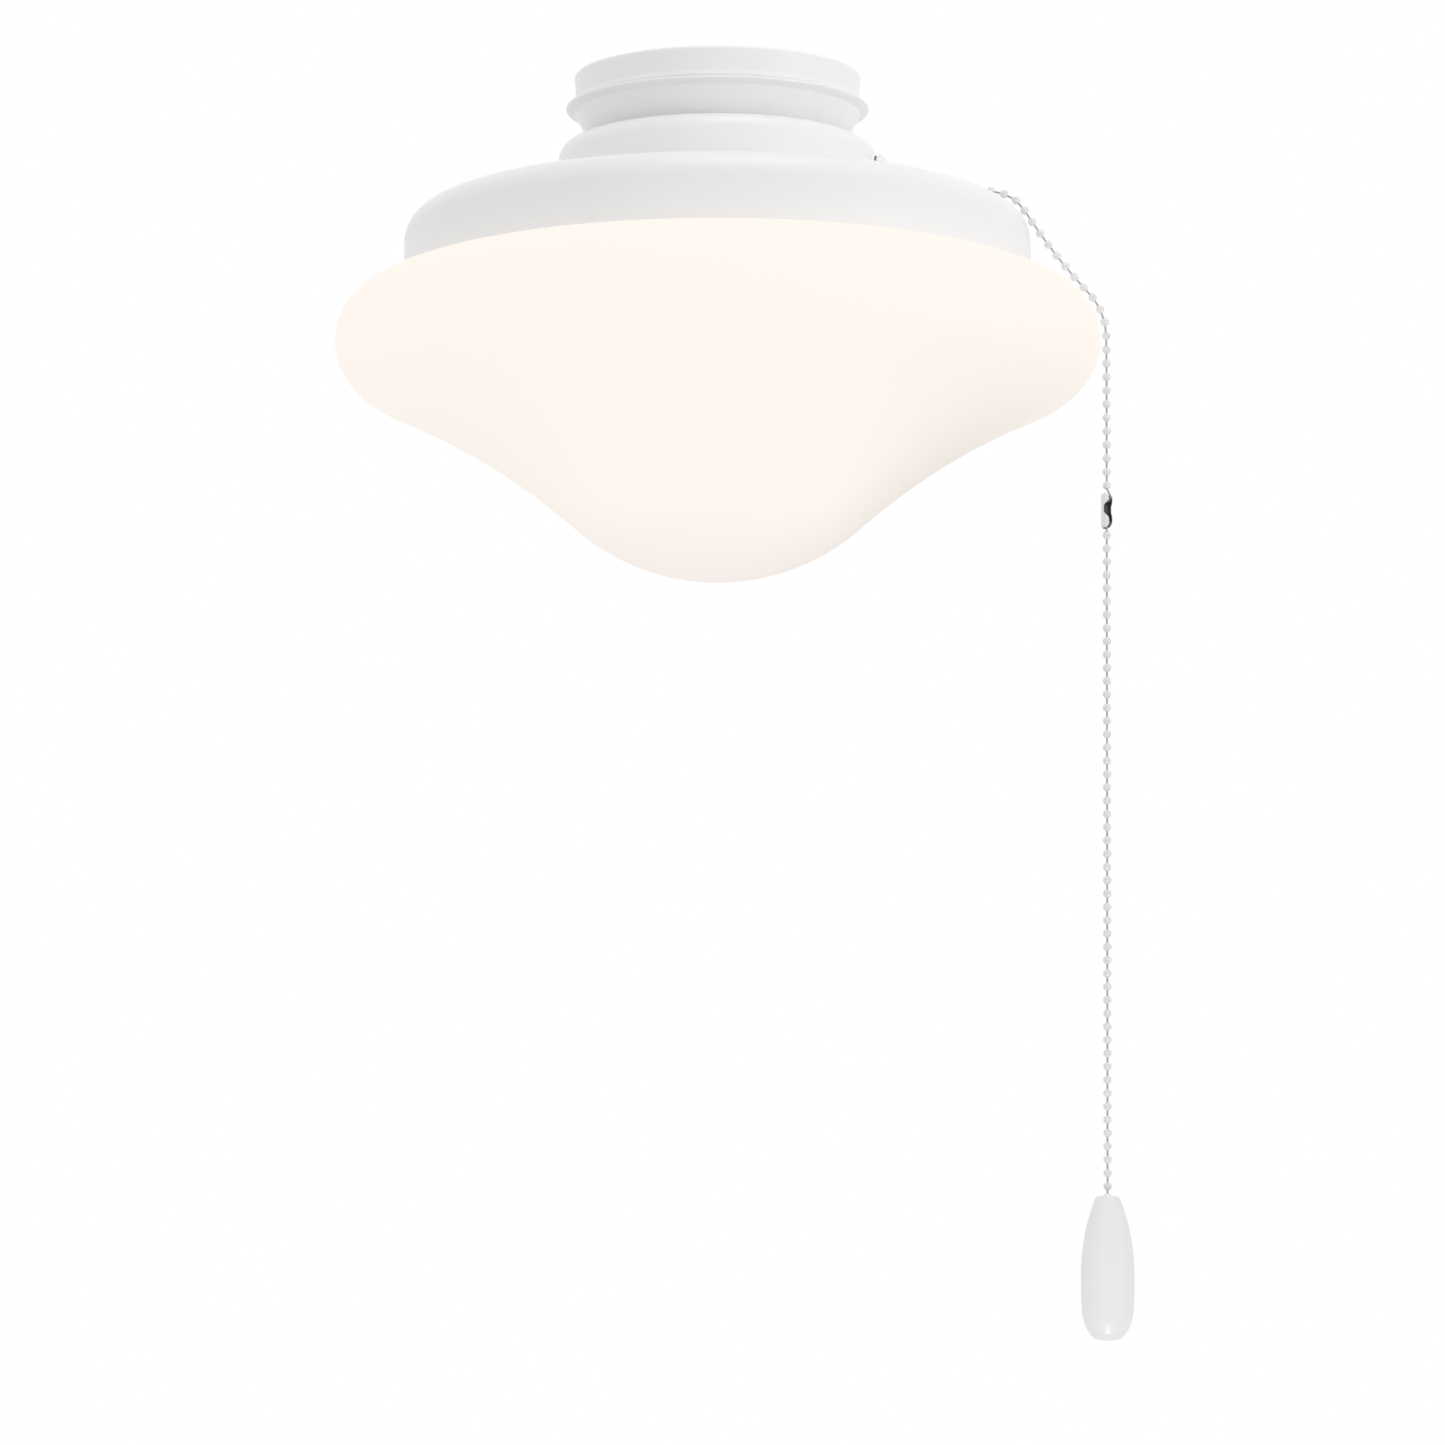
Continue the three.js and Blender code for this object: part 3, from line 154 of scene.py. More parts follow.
class Finish:
    """One material with a Principled shader, set by plain values and by wires."""

    def __init__(self, name, **constants):
        self.material = bpy.data.materials.new(name)
        self.material.use_nodes = True
        self.tree = self.material.node_tree
        self.shader = self.tree.nodes["Principled BSDF"]
        for socket, value in constants.items():
            self.set(socket.replace("_", " "), value)

    def set(self, socket, value):
        if isinstance(value, Wire):
            self.tree.links.new(value.socket, self.shader.inputs[socket])
        elif isinstance(value, tuple):
            self.shader.inputs[socket].default_value = (*value, 1)
        else:
            self.shader.inputs[socket].default_value = value

    def node(self, kind, settings=None, sockets=None, output=0):
        made = self.tree.nodes.new(kind)
        for name, value in (settings or {}).items():
            setattr(made, name, value)
        for name, value in (sockets or {}).items():
            if isinstance(value, Wire):
                self.tree.links.new(value.socket, made.inputs[name])
            else:
                made.inputs[name].default_value = (*value, 1) if isinstance(value, tuple) else value
        return Wire(self, made.outputs[output])

    def place(self):
        """The point on the piece, in metres, which moves with it."""
        return self.node("ShaderNodeTexCoord", output="Object")

    def noise(self, scale, detail=2):
        sockets = {"Vector": self.place(), "Scale": scale, "Detail": detail}
        return self.node("ShaderNodeTexNoise", {}, sockets)

    def blend(self, share, first, second):
        """Mixes two colours by a wire from 0 to 1."""
        return self.node("ShaderNodeMix", {"data_type": "RGBA"}, {0: share, 6: first, 7: second}, output=2)

    def ramp(self, value, start, end):
        """Rises smoothly from 0 to 1 while a wire goes from start to end."""
        settings = {"interpolation_type": "SMOOTHSTEP"}
        return self.node("ShaderNodeMapRange", settings, {0: value, 1: start, 2: end})

    def bump(self, height, depth):
        sockets = {"Height": height, "Distance": depth, "Strength": 1.0}
        self.set("Normal", self.node("ShaderNodeBump", {}, sockets))

    def vary(self, colour, roughness, spread=0.03, scale=60):
        """Sets a colour and a roughness that drift a little over the piece."""
        drift = self.noise(scale)
        paler = tuple(min(1, c * (1 + spread)) for c in colour)
        darker = tuple(c * (1 - spread) for c in colour)
        self.set("Base Color", self.blend(drift, darker, paler))
        self.set("Roughness", drift * GLOSS_DRIFT + (roughness - GLOSS_DRIFT / 2))


print("shader helpers ready")

# %% [markdown]
# ## Helpers for turned pieces
#
# A profile is a list of corners with a radius, a height and the fillet that the tool leaves
# there. Spinning the profile gives the piece, and holes are cut through it with exact Booleans,
# as a press would punch them.

# %% Define the turning helpers


def arc(centre, radius, start, end, steps):
    """Points [radius, height] along an arc, with the angles in degrees."""
    angles = [math.radians(start + (end - start) * i / steps) for i in range(steps + 1)]
    return [(centre[0] + radius * math.cos(a), centre[1] + radius * math.sin(a)) for a in angles]


def rounded(corners, steps=5):
    """Corners [radius, height, fillet] of a closed profile, with the fillets drawn as arcs."""
    points = []
    for i, (radius, height, *fillet) in enumerate(corners):
        here = Vector((radius, height))
        if not fillet:
            points.append(here)
            continue
        before = (Vector(corners[i - 1][:2]) - here).normalized()
        after = (Vector(corners[(i + 1) % len(corners)][:2]) - here).normalized()
        half = before.angle(after) / 2
        centre = here + (before + after).normalized() * fillet[0] / math.sin(half)
        first = here + before * fillet[0] / math.tan(half) - centre
        last = here + after * fillet[0] / math.tan(half) - centre
        turn = -first.angle_signed(last)
        points += [centre + Matrix.Rotation(turn * k / steps, 2) @ first for k in range(steps + 1)]
    return [tuple(p) for p in points]


def to_object(name, bm, clean=True):
    """Gives a mesh in millimetres an object at the origin, cleaned and with its faces outwards."""
    if clean:
        bmesh.ops.remove_doubles(bm, verts=bm.verts, dist=0.001)
        bmesh.ops.dissolve_degenerate(bm, edges=bm.edges, dist=0.0005)
        bmesh.ops.recalc_face_normals(bm, faces=bm.faces)
    bmesh.ops.transform(bm, matrix=Matrix.Scale(MM, 4), verts=bm.verts)
    mesh = bpy.data.meshes.new(name)
    bm.to_mesh(mesh)
    bm.free()
    piece = bpy.data.objects.new(name, mesh)
    bpy.context.scene.collection.objects.link(piece)
    smooth(piece)
    return piece


def smooth(piece, degrees=32):
    piece.data.shade_smooth()
    piece.data.set_sharp_from_angle(angle=math.radians(degrees))


def turn(bm, profile, steps, closed=True):
    """Spins a profile in millimetres about Z, and returns the new vertices."""
    before = set(bm.verts)
    line = [bm.verts.new((radius, 0, height)) for radius, height in profile]
    pairs = list(zip(line, line[1:] + line[:1]))
    edges = [bm.edges.new(pair) for pair in (pairs if closed else pairs[:-1])]
    bmesh.ops.spin(
        bm, geom=line + edges, cent=(0, 0, 0), axis=(0, 0, 1), angle=math.tau, steps=steps,
        use_merge=True,
    )
    return [v for v in bm.verts if v not in before]


def turned(name, profile, steps=96, closed=True, where=None):
    """A piece turned from one profile, moved by the matrix where."""
    bm = bmesh.new()
    verts = turn(bm, profile, steps, closed)
    if where:
        bmesh.ops.transform(bm, matrix=where, verts=verts)
    return to_object(name, bm)


def wedge(inner, outer, start, end, low, high, steps=12):
    """A cutter: the part of a ring between two directions in degrees."""
    bm = bmesh.new()
    corners = [(inner, low), (outer, low), (outer, high), (inner, high)]
    face = bm.faces.new([bm.verts.new((radius, 0, height)) for radius, height in corners])
    bmesh.ops.rotate(bm, verts=bm.verts, matrix=Matrix.Rotation(math.radians(start), 3, "Z"))
    bmesh.ops.spin(
        bm, geom=[face, *face.edges, *face.verts], axis=(0, 0, 1), angle=math.radians(end - start),
        steps=steps,
    )
    return to_object("cutter", bm)


def drill(radius, low, high, x=0, y=0, where=None):
    """A cutter: a round bar."""
    bm = bmesh.new()
    bmesh.ops.create_cone(
        bm, cap_ends=True, segments=40, radius1=radius, radius2=radius, depth=high - low,
        matrix=(where or Matrix()) @ Matrix.Translation((x, y, (low + high) / 2)),
    )
    return to_object("cutter", bm)


def carve(piece, *cutters, operation="DIFFERENCE"):
    """Cuts the cutters out of a piece, or joins them to it, and removes them."""
    for cutter in cutters:
        change = piece.modifiers.new("cut", "BOOLEAN")
        change.object, change.operation, change.solver = cutter, operation, "EXACT"
    bpy.context.view_layer.update()
    seen = piece.evaluated_get(bpy.context.evaluated_depsgraph_get())
    mesh = bpy.data.meshes.new_from_object(seen)
    piece.modifiers.clear()
    piece.data = mesh
    smooth(piece)
    for cutter in cutters:
        bpy.data.objects.remove(cutter)
    return piece


def settle(piece, body, slot, *nodes):
    """Lets a finished piece ride its body and stand for its CAD nodes."""
    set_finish(piece, slot)
    if nodes:
        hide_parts(*nodes)
    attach(piece, body)
    print(piece.name, len(piece.data.polygons), "faces on", body)
    return piece


print("turning helpers ready")

# %% [markdown]
# ## Neck cup
#
# The cup that seats under the fan is spun from sheet. Its collar flares out a little at the foot,
# a rounded lip under it stiffens the cup, and the waist narrows to a flat floor. A fine crease runs
# above and below the lip. The top flange has three keyholes, so that the cup can be hung on
# loosened screws and turned. A lathe profile with true rounds gives the same lines.

# %% Turn the neck cup
SLOT_DIRECTIONS, SLOT_CIRCLE = (30, 150, 270), 45
SCREW_DIRECTIONS, SCREW_CIRCLE, SCREW_HOLE = (90, 210, 330), 32, 2.05
LEAD_HOLE, LEAD_X = 7, -26


def round_about(radius, degrees):
    return radius * math.cos(math.radians(degrees)), radius * math.sin(math.radians(degrees))


def screw_holes(low, high):
    """The screws that join the neck cup to the housing, as cutters."""
    return [drill(SCREW_HOLE, low, high, *round_about(SCREW_CIRCLE, way)) for way in SCREW_DIRECTIONS]


neck = turned("neck_cup_spun", [
    (5.15, -25.7),
    *arc((46.1, -24.2), 1.5, -90, -29.4, 5),
    (50.7, -19.5), (53.3, -14.55),
    *arc((56, -12.65), 0.65, -70, 75, 12),
    *rounded([(53, -11.5), (53.55, -10.95, 0.15), (52.95, -9.3, 2), (53.2, -4)], 5),
    *arc((52.2, -1.3), 1.3, 0, 90, 6),
    (38, 0), (38, -1.2), (51.5, -1.2), (51.5, -11.4), (54.4, -12.5), (51.9, -14.9), (46.2, -24.5),
    (5.15, -24.5),
], 160)
cutters = [*screw_holes(-28, -22), drill(LEAD_HOLE, -28, -22, LEAD_X)]
for start in SLOT_DIRECTIONS:
    cutters.append(drill(4.4, -3, 2, *round_about(SLOT_CIRCLE, start)))
    cutters.append(wedge(SLOT_CIRCLE - 2.4, SLOT_CIRCLE + 2.4, start, start + 16, -3, 2))
settle(carve(neck, *cutters), "fixture", "white_paint", "neck_cup")

# %% [markdown]
# ## Switch housing
#
# The housing is a deep-drawn cup, so its top edge is one wide round and its side is straight. A low
# flat boss at the right gives the switch's nut a seat, and the barrel passes through it. The top has
# holes for screws and leads.

# %% Turn the switch housing
OUTLET_DIRECTION, OUTLET_HEIGHT = -10, -38
OUTWARD = (
    Matrix.Rotation(math.radians(OUTLET_DIRECTION), 4, "Z")
    @ Matrix.Translation((0, 0, OUTLET_HEIGHT))
    @ Matrix.Rotation(math.pi / 2, 4, "Y")
)

housing = turned("switch_housing_drawn", [
    *rounded([(59.5, -52.2), (59.5, -26, 6.8), (5.15, -26)], 14)[:-1],
    (5.15, -26), (5.15, -27),
    *rounded([(5.15, -27), (58.5, -27, 5.8), (58.5, -52.2)], 14)[1:],
], 160)
boss_profile = rounded([(4, 58.6), (5.7, 58.6), (5.7, 60.25, 0.5), (4, 60.25)])
carve(housing, turned("boss", boss_profile, 48, where=OUTWARD), operation="UNION")
barrel_hole = drill(5.1, 54, 62, where=OUTWARD)
carve(housing, drill(LEAD_HOLE, -29, -24, LEAD_X), barrel_hole, *screw_holes(-29, -24))
settle(housing, "fixture", "white_paint", "switch_housing")

# %% [markdown]
# ## Glass pan
#
# The pan is pressed from sheet too. Its flat top meets the housing's foot, a large round turns down
# into a straight skirt, and the skirt's lower edge is cut square and broken by the paint.

# %% Turn the glass pan
pan = turned("glass_pan_pressed", [
    *rounded([(116.7, -80.9), (117.2, -80.9, 0.35), (117.2, -52.5, 11.3), (5.15, -52.5)], 18)[1:-1],
    (5.15, -52.5), (5.15, -53.5),
    *rounded([(5.15, -53.5), (116.2, -53.5, 10.3), (116.2, -80.9, 0.3), (116.7, -80.9)], 18)[1:-1],
], 224)
settle(carve(pan, drill(LEAD_HOLE, -55, -50, 0, 28)), "fixture", "white_paint", "glass_pan")

# %% [markdown]
# ## Glass bowl
#
# The bowl is blown in a mould from opal glass, so every part of its wall flows into the next. It
# goes from a round shoulder over the equator into a hollow flank and a round bottom. The ground lip
# at its neck has three notches, through which the pan's clips pass before the bowl is twisted.

# %% Turn the glass bowl
EQUATOR = -101.25
SHOULDER_REACH, SHOULDER_RADIUS = 124.3, 18.8
BELLY_REACH, BELLY_RADIUS, BELLY_ANGLE = 122.2, 20.9, 65.4
HOLLOW_RADIUS, BOTTOM_ANGLE = 294, 47.5
GLASS_WALL = 3


def bowl_wall(inset, steps):
    """The wall's arcs from the bottom's middle up to the shoulder, moved inwards by inset."""
    out, down = round_about(BELLY_RADIUS + HOLLOW_RADIUS, BELLY_ANGLE)
    hollow_centre = (BELLY_REACH + out, EQUATOR - down)
    out, down = round_about(HOLLOW_RADIUS, BOTTOM_ANGLE)
    start = (hollow_centre[0] - out, hollow_centre[1] + down)
    bottom_radius = start[0] / math.cos(math.radians(BOTTOM_ANGLE))
    bottom_centre = (0, start[1] + bottom_radius * math.sin(math.radians(BOTTOM_ANGLE)))
    return [
        *arc(bottom_centre, bottom_radius - inset, -90, -BOTTOM_ANGLE, steps),
        *arc(hollow_centre, HOLLOW_RADIUS + inset, 180 - BOTTOM_ANGLE, 180 - BELLY_ANGLE, steps)[1:],
        *arc((BELLY_REACH, EQUATOR), BELLY_RADIUS - inset, -BELLY_ANGLE, 0, steps)[1:],
        *arc((SHOULDER_REACH, EQUATOR), SHOULDER_RADIUS - inset, 0, 90, steps)[1:],
    ]


NECK_IN, NECK_OUT, LIP_OUT = 107.4, 110.4, 114.1
lip = rounded([
    (NECK_OUT, -75), (NECK_OUT, -69.5, 0.6), (LIP_OUT, -69.5, 0.6), (LIP_OUT, -65.5, 0.6),
    (NECK_IN, -65.5, 0.6), (NECK_IN, -80),
], 4)[1:-1]
neck_fillet = arc((113.9, -78.6), 3.5, -90, -180, 6)
bowl = turned("glass_shade_blown", [
    *bowl_wall(0, 20), *neck_fillet, *lip, (NECK_IN, -85.1), *reversed(bowl_wall(GLASS_WALL, 16)),
], 224, closed=False)
print("glass bowl wall", len(bowl.data.polygons))

# %% [markdown]
# The notches are ground into the lip after the bowl is blown, each a little deeper than the lip.

# %% Grind the notches
NOTCH_DIRECTIONS, NOTCH_WIDTH = (21.7, 141.7, 261.7), 28

notches = [wedge(110.1, 117, way, way + NOTCH_WIDTH, -69.8, -63, 10) for way in NOTCH_DIRECTIONS]
settle(carve(bowl, *notches), "shade", "opal_glass", "glass_shade")

# %% [markdown]
# ## Chain outlet
#
# The switch's barrel passes the housing wall. A dark washer lies against the wall, and a pale nut
# with a tapered nose covers the barrel's end and holds the switch. Seen from the side they are one
# dark and one light band.

# %% Turn the outlet's washer and nut
washer = turned("outlet_washer", rounded([
    (4.85, 60.55), (5.1, 60.55, 0.08), (5.1, 61.05, 0.08), (4.85, 61.05),
], 3), 48, where=OUTWARD)
settle(washer, "fixture", "dark_steel", "barrel_washer")
nut = turned("outlet_nut", rounded([
    (4.85, 61.1), (5.5, 61.1, 0.2), (5.35, 62.9, 0.5), (4.7, 63.6, 0.3), (2.5, 63.6, 0.1),
    (2.5, 63.35), (4.85, 63.35),
], 4), 48, where=OUTWARD)
settle(nut, "fixture", "white_paint", "barrel_nut")

# %% [markdown]
# ## Ball chain
#
# Each ball is a hollow bead crimped round a dumbbell-shaped wire, so a short bright wire shows
# between the beads. The beads are set out along the chain's line by arc length, one pitch apart,
# counted back from the bead that the lower chain swings on. An attribute marks the wire with 1 and
# the smaller beads that sit hidden in a fitting with 2, so that the finish can paint shade on them.

# %% Define the chain
BEAD, WIRE, PITCH = 1.6, 0.36, 5.18


def along(route, distance):
    """The point and the direction at a distance along a route."""
    for a, b in zip(route, route[1:]):
        step, way = (b - a).length, (b - a).normalized()
        if distance <= step:
            return a + (b - a) * distance / step, way
        distance -= step
    return b + way * distance, way


def facing(place, way):
    """The matrix that moves a piece to a place and turns its Z along a way."""
    return Matrix.Translation(place) @ way.to_track_quat("Z", "Y").to_matrix().to_4x4()


def chain(name, places, stops):
    """Beads at the places, and wire from stop to stop."""
    bm = bmesh.new()
    wire = bm.verts.layers.float.new("wire")
    for place, way, radius in places:
        bead = bmesh.ops.create_uvsphere(
            bm, u_segments=16, v_segments=10, radius=radius, matrix=facing(place, way),
        )
        # Beads smaller than the chain's own sit in a fitting and are marked 2, so that the finish paints
        # shade on them.
        for vert in bead["verts"]:
            vert[wire] = 0 if radius == BEAD else 2
    for a, b in zip(stops, stops[1:]):
        link = bmesh.ops.create_cone(
            bm, cap_ends=True, segments=8, radius1=WIRE, radius2=WIRE, depth=(b - a).length,
            matrix=facing((a + b) / 2, b - a),
        )
        for vert in link["verts"]:
            vert[wire] = 1
    return to_object(name, bm, clean=False)


print("chain helpers ready")

# %% [markdown]
# ## Upper chain
#
# The chain leaves the switch drum and comes straight out of the barrel. It is stiff enough to stand
# in a low bow that just clears the pan's round, and it changes direction on the bowl's shoulder
# before it hangs. The bow is set out by shares of the straight way and rises above it.

# %% Set out the chain's line
PAN_ROUND, BOWL_ROUND = Vector((105.9, -63.8)), Vector((SHOULDER_REACH, -100.9))
PAN_REACH, BOWL_REACH = 11.3 + 1.95, SHOULDER_RADIUS + 2.45
DRUM_REACH, SAG = 44, 1.1
MOUTH = Vector((64.4, OUTLET_HEIGHT))
PIVOT = Vector((145.46, -5.08, -157.8))
PAN_CREST, BOWL_FOOT, HANG_DIRECTION = -54.43, -110.9, -2
BOW = [
    (0, 0), (0.142, 0.013), (0.296, 0.011), (0.45, 0.009), (0.582, 0.017), (0.671, 0.037),
    (0.759, 0.065), (0.851, 0.064), (0.937, 0.043), (1, 0),
]


def in_section():
    """The chain's line as [radius, height]."""
    between = BOWL_ROUND - PAN_ROUND
    leave = math.degrees(math.acos((PAN_REACH - BOWL_REACH) / between.length))
    leave -= math.degrees(math.atan2(-between.y, between.x))
    past_pan = PAN_ROUND + Vector(round_about(PAN_REACH, leave))
    over_bowl = [Vector(p) for p in arc(BOWL_ROUND, BOWL_REACH, leave, 0, 24)]
    reach = past_pan - MOUTH
    rising = Vector((-reach.y, reach.x))
    bow = [MOUTH + reach * share + rising * rise for share, rise in BOW]
    inwards = -Vector(round_about(SAG, leave))
    shares = [k / 12 for k in range(1, 12)]
    span = [past_pan.lerp(over_bowl[0], k) + inwards * math.sin(math.pi * k) for k in shares]
    inside = [Vector((DRUM_REACH + (MOUTH.x - DRUM_REACH) * k / 10, MOUTH.y)) for k in range(10)]
    hanging = [Vector((over_bowl[-1].x, z)) for z in (-110, -120, -140, PIVOT.z)]
    return [*inside, *eased(bow), *span, *over_bowl, *hanging]


def eased(points, steps=5):
    """Runs a smooth curve through the points, with a Bezier piece between each two."""
    slopes = [(b - a) / 6 for a, b in zip([points[0], *points], [*points[1:], points[-1]])]
    curve = []
    for a, b, out, into in zip(points, points[1:], slopes, slopes[1:]):
        curve += interpolate_bezier(a, a + out, b - into, b, steps)[:-1]
    return [Vector(p[:2]) for p in [*curve, points[-1]]]


def in_space(radius, height):
    """A point of the section in space: the chain drifts sideways on its way down the bowl."""
    share = min(1, max(0, (PAN_CREST - height) / (PAN_CREST - BOWL_FOOT)))
    way = OUTLET_DIRECTION + (HANG_DIRECTION - OUTLET_DIRECTION) * share
    return Vector((*round_about(radius, way), height))


line = [in_space(*p) for p in in_section()]
line_length = sum((b - a).length for a, b in zip(line, line[1:]))
print("upper chain", round(line_length, 1), "mm from the drum to the pivot bead at", line[-1])

# %% [markdown]
# The upper chain hangs free and ends in the coupling. Its beads and wire are made along the line,
# given the chain's finish, and their place is kept in the mesh.

# %% Make the upper chain
count = int(line_length / PITCH)
upper_places = [(*along(line, line_length - PITCH * i), BEAD) for i in range(count + 1)][::-1]
stops = [place for place, _, _ in upper_places]
upper_chain = chain("pull_chain_upper", upper_places, [line[0], *stops])
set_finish(upper_chain, "chain_metal")
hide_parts("chain_over_pan", "chain_drop")
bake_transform(upper_chain)
print(len(upper_places), "beads,", len(upper_chain.data.polygons), "faces")

# %% [markdown]
# ## Coupling
#
# The coupling is a small clip of sheet rolled to a tube. A slit runs down it, through which the
# chain's wire is slipped in, and it opens to a wide window in the middle. The ends are rolled in,
# and each holds one bead. A flat grid with scalloped edges, bent round the axis and given a wall,
# has the same shape as the real stamping. The chain's attribute marks its inner face with 2, on
# which the chain's finish paints shade.

# %% Roll the coupling
COUPLING_TOP, COUPLING_FOOT, COUPLING_RADIUS, COUPLING_WALL = -161.0, -174.2, 2.15, 0.28
WINDOW_MIDDLE, WINDOW_FLAT, WINDOW_SLOPE = -167, 0.9, 2.8
CORNER_HEIGHT, TAPER_HEIGHT, ROLL_HEIGHT, ROLL_DEPTH = 1.7, 4, 0.8, 0.5


def coupling_edges(height):
    """The near and the far edge of the opening at a height, in degrees."""
    share = min(1, max(0, (abs(height - WINDOW_MIDDLE) - WINDOW_FLAT) / WINDOW_SLOPE))
    share = share * share * (3 - 2 * share)
    above = height - COUPLING_FOOT
    corner = max(0, 1 - min(above, COUPLING_TOP - height) / CORNER_HEIGHT) ** 2
    taper = max(corner, max(0, 1 - above / TAPER_HEIGHT) ** 2)
    return -125 + 57 * share - 28 * corner, 36 - 36 * share + 90 * taper


def roll_coupling():
    bm = bmesh.new()
    wire = bm.verts.layers.float.new("wire")
    bmesh.ops.create_grid(bm, x_segments=40, y_segments=52, size=0.5)
    for vert in bm.verts:
        height = COUPLING_FOOT + (COUPLING_TOP - COUPLING_FOOT) * (vert.co.y + 0.5)
        near, far = coupling_edges(height)
        angle = math.radians(far + (near + 360 - far) * (vert.co.x + 0.5))
        to_end = min(height - COUPLING_FOOT, COUPLING_TOP - height)
        radius = COUPLING_RADIUS - ROLL_DEPTH * max(0, 1 - to_end / ROLL_HEIGHT) ** 2
        vert.co = (radius * math.cos(angle), radius * math.sin(angle), height)
    bmesh.ops.recalc_face_normals(bm, faces=bm.faces)
    outer = set(bm.verts)
    bmesh.ops.solidify(bm, geom=bm.faces[:], thickness=-COUPLING_WALL)
    # The inner face is marked 2, so that the finish paints shade on it and makes it nearly black.
    for vert in bm.verts:
        vert[wire] = 0 if vert in outer else 2
    bmesh.ops.translate(bm, vec=(PIVOT.x, PIVOT.y, 0), verts=bm.verts)
    return to_object("coupling_clip", bm)


settle(roll_coupling(), "hanging_chain", "chain_metal", "chain_coupling")

# %% [markdown]
# ## Fob
#
# The fob is turned from a small block of wood and sprayed white. Its outline swells slowly from the
# top, is widest low down, and ends in a flat foot with a chamfer. A thin ferrule closes the bore
# and traps the chain's last bead.

# %% Turn the fob and its ferrule
HANGING = Matrix.Translation((PIVOT.x, PIVOT.y, 0))

fob = turned("fob_turned", [
    (0, -483.1), (5.2, -483.1), (5.6, -482.95), (5.9, -482.5), (7.84, -479.9), (8.5, -478.3),
    (8.96, -476.9), (9.4, -475.2), (9.65, -473.5), (9.78, -471), (9.92, -468), (10, -464.5),
    (10, -459), (9.95, -456), (9.75, -452.8), (9.4, -449.3), (9.0, -446.2), (8.5, -443.2),
    (7.8, -440), (6.95, -437), (6.05, -434), (5.1, -431.3), (4.75, -430.3), (4.35, -429.85),
    (1.8, -429.8), (1.8, -438.3), (0, -438.3),
], 72, closed=False, where=HANGING)
settle(fob, "pull_fob", "fob_paint", "fob")

ferrule = turned("fob_ferrule_pressed", rounded([
    (0.75, -431.8), (1.5, -431.8, 0.2), (1.5, -429.6), (1.75, -429.6, 0.1), (1.75, -429.3, 0.15),
    (1.1, -428.3, 0.3), (0.75, -428.3),
], 4), 40, where=HANGING)
settle(ferrule, "pull_fob", "white_paint", "fob_ferrule")

tuple(in_space(*MOUTH) * MM)

# %% [markdown]
# ## Lower chain
#
# The lower chain starts with a bead that the coupling holds, runs straight down and ends in a bead
# inside the fob. The short link that joins the pivot bead to the coupling slants out to the slit,
# because it was slipped in there.

# %% Make the lower chain
LOWER_TOP, RUN_TOP, TRAPPED = -163.14, -172.06, -433.9
RUN_START, RUN_PITCH, RUN_BEADS = -176.85, 5.074, 50
# Beads of this size sit in the coupling or the fob, and the chain's finish paints shade on them.
HIDDEN_BEAD = 1.5
DOWN = Vector((0, 0, -1))


def hung(height, radius=BEAD):
    return Vector((PIVOT.x, PIVOT.y, height)), DOWN, radius


def beside(side, height):
    return hung(height)[0] + Vector((side, -0.3 * side, 0))


slant = [beside(0, -159.1), beside(1.2, -161.5), beside(1.7, -162.6)]
end_link = chain("coupling_link", [hung(LOWER_TOP, HIDDEN_BEAD)], [*slant, hung(LOWER_TOP)[0]])
settle(end_link, "hanging_chain", "chain_metal", "chain_end_link")
run = [hung(RUN_START - RUN_PITCH * i) for i in range(RUN_BEADS)]
lower_places = [hung(RUN_TOP, HIDDEN_BEAD), *run, hung(TRAPPED, HIDDEN_BEAD)]
lower_chain = chain("pull_chain_lower", lower_places, [place for place, _, _ in lower_places])
settle(lower_chain, "hanging_chain", "chain_metal", "chain_lower")

# %% [markdown]
# ## Paint and metal
#
# The sheet parts carry white baked enamel, whose surface has a very faint ripple. Bought parts are
# zinc plated, oiled steel or brass. Each finish drifts a little in colour and gloss, because no real
# coat is even.

# %% Mix the paints and metals
finishes = {}


def coat(slot, colour, roughness, spread=0.03, scale=60, ripple=None, **constants):
    """A finish that drifts a little, with a ripple of a noise scale and a depth in millimetres."""
    made = Finish(slot, **constants)
    made.vary(colour, roughness, spread, scale)
    if ripple:
        made.bump(made.noise(ripple[0], 1), ripple[1] * MM)
    finishes[slot] = made.material


coat(
    "white_paint", (0.88, 0.88, 0.88), 0.38, 0.008, 25, ripple=(700, 0.01), Coat_Weight=0.15,
    Coat_Roughness=0.2,
)
coat("zinc_steel", (0.66, 0.67, 0.69), 0.32, 0.06, 400, Metallic=1.0)
coat("dark_steel", (0.24, 0.24, 0.245), 0.45, 0.1, 300, Metallic=0.4)
coat("green_screw", (0.05, 0.28, 0.11), 0.35, 0.06, 300, Metallic=0.7)
coat("brass", (0.78, 0.56, 0.22), 0.3, 0.08, 300, Metallic=1.0)
coat("reflector_metal", (0.82, 0.82, 0.82), 0.3, 0.03, 80, Metallic=0.8)
print(len(finishes), "paints and metals")

# %% [markdown]
# ## Plastics, glaze, fibre and rubber
#
# The inner parts have plain bought finishes: glazed lampholders, moulded nuts and a plug, a felted
# heat pad, a fibre cover and smooth rubbery lead insulation.

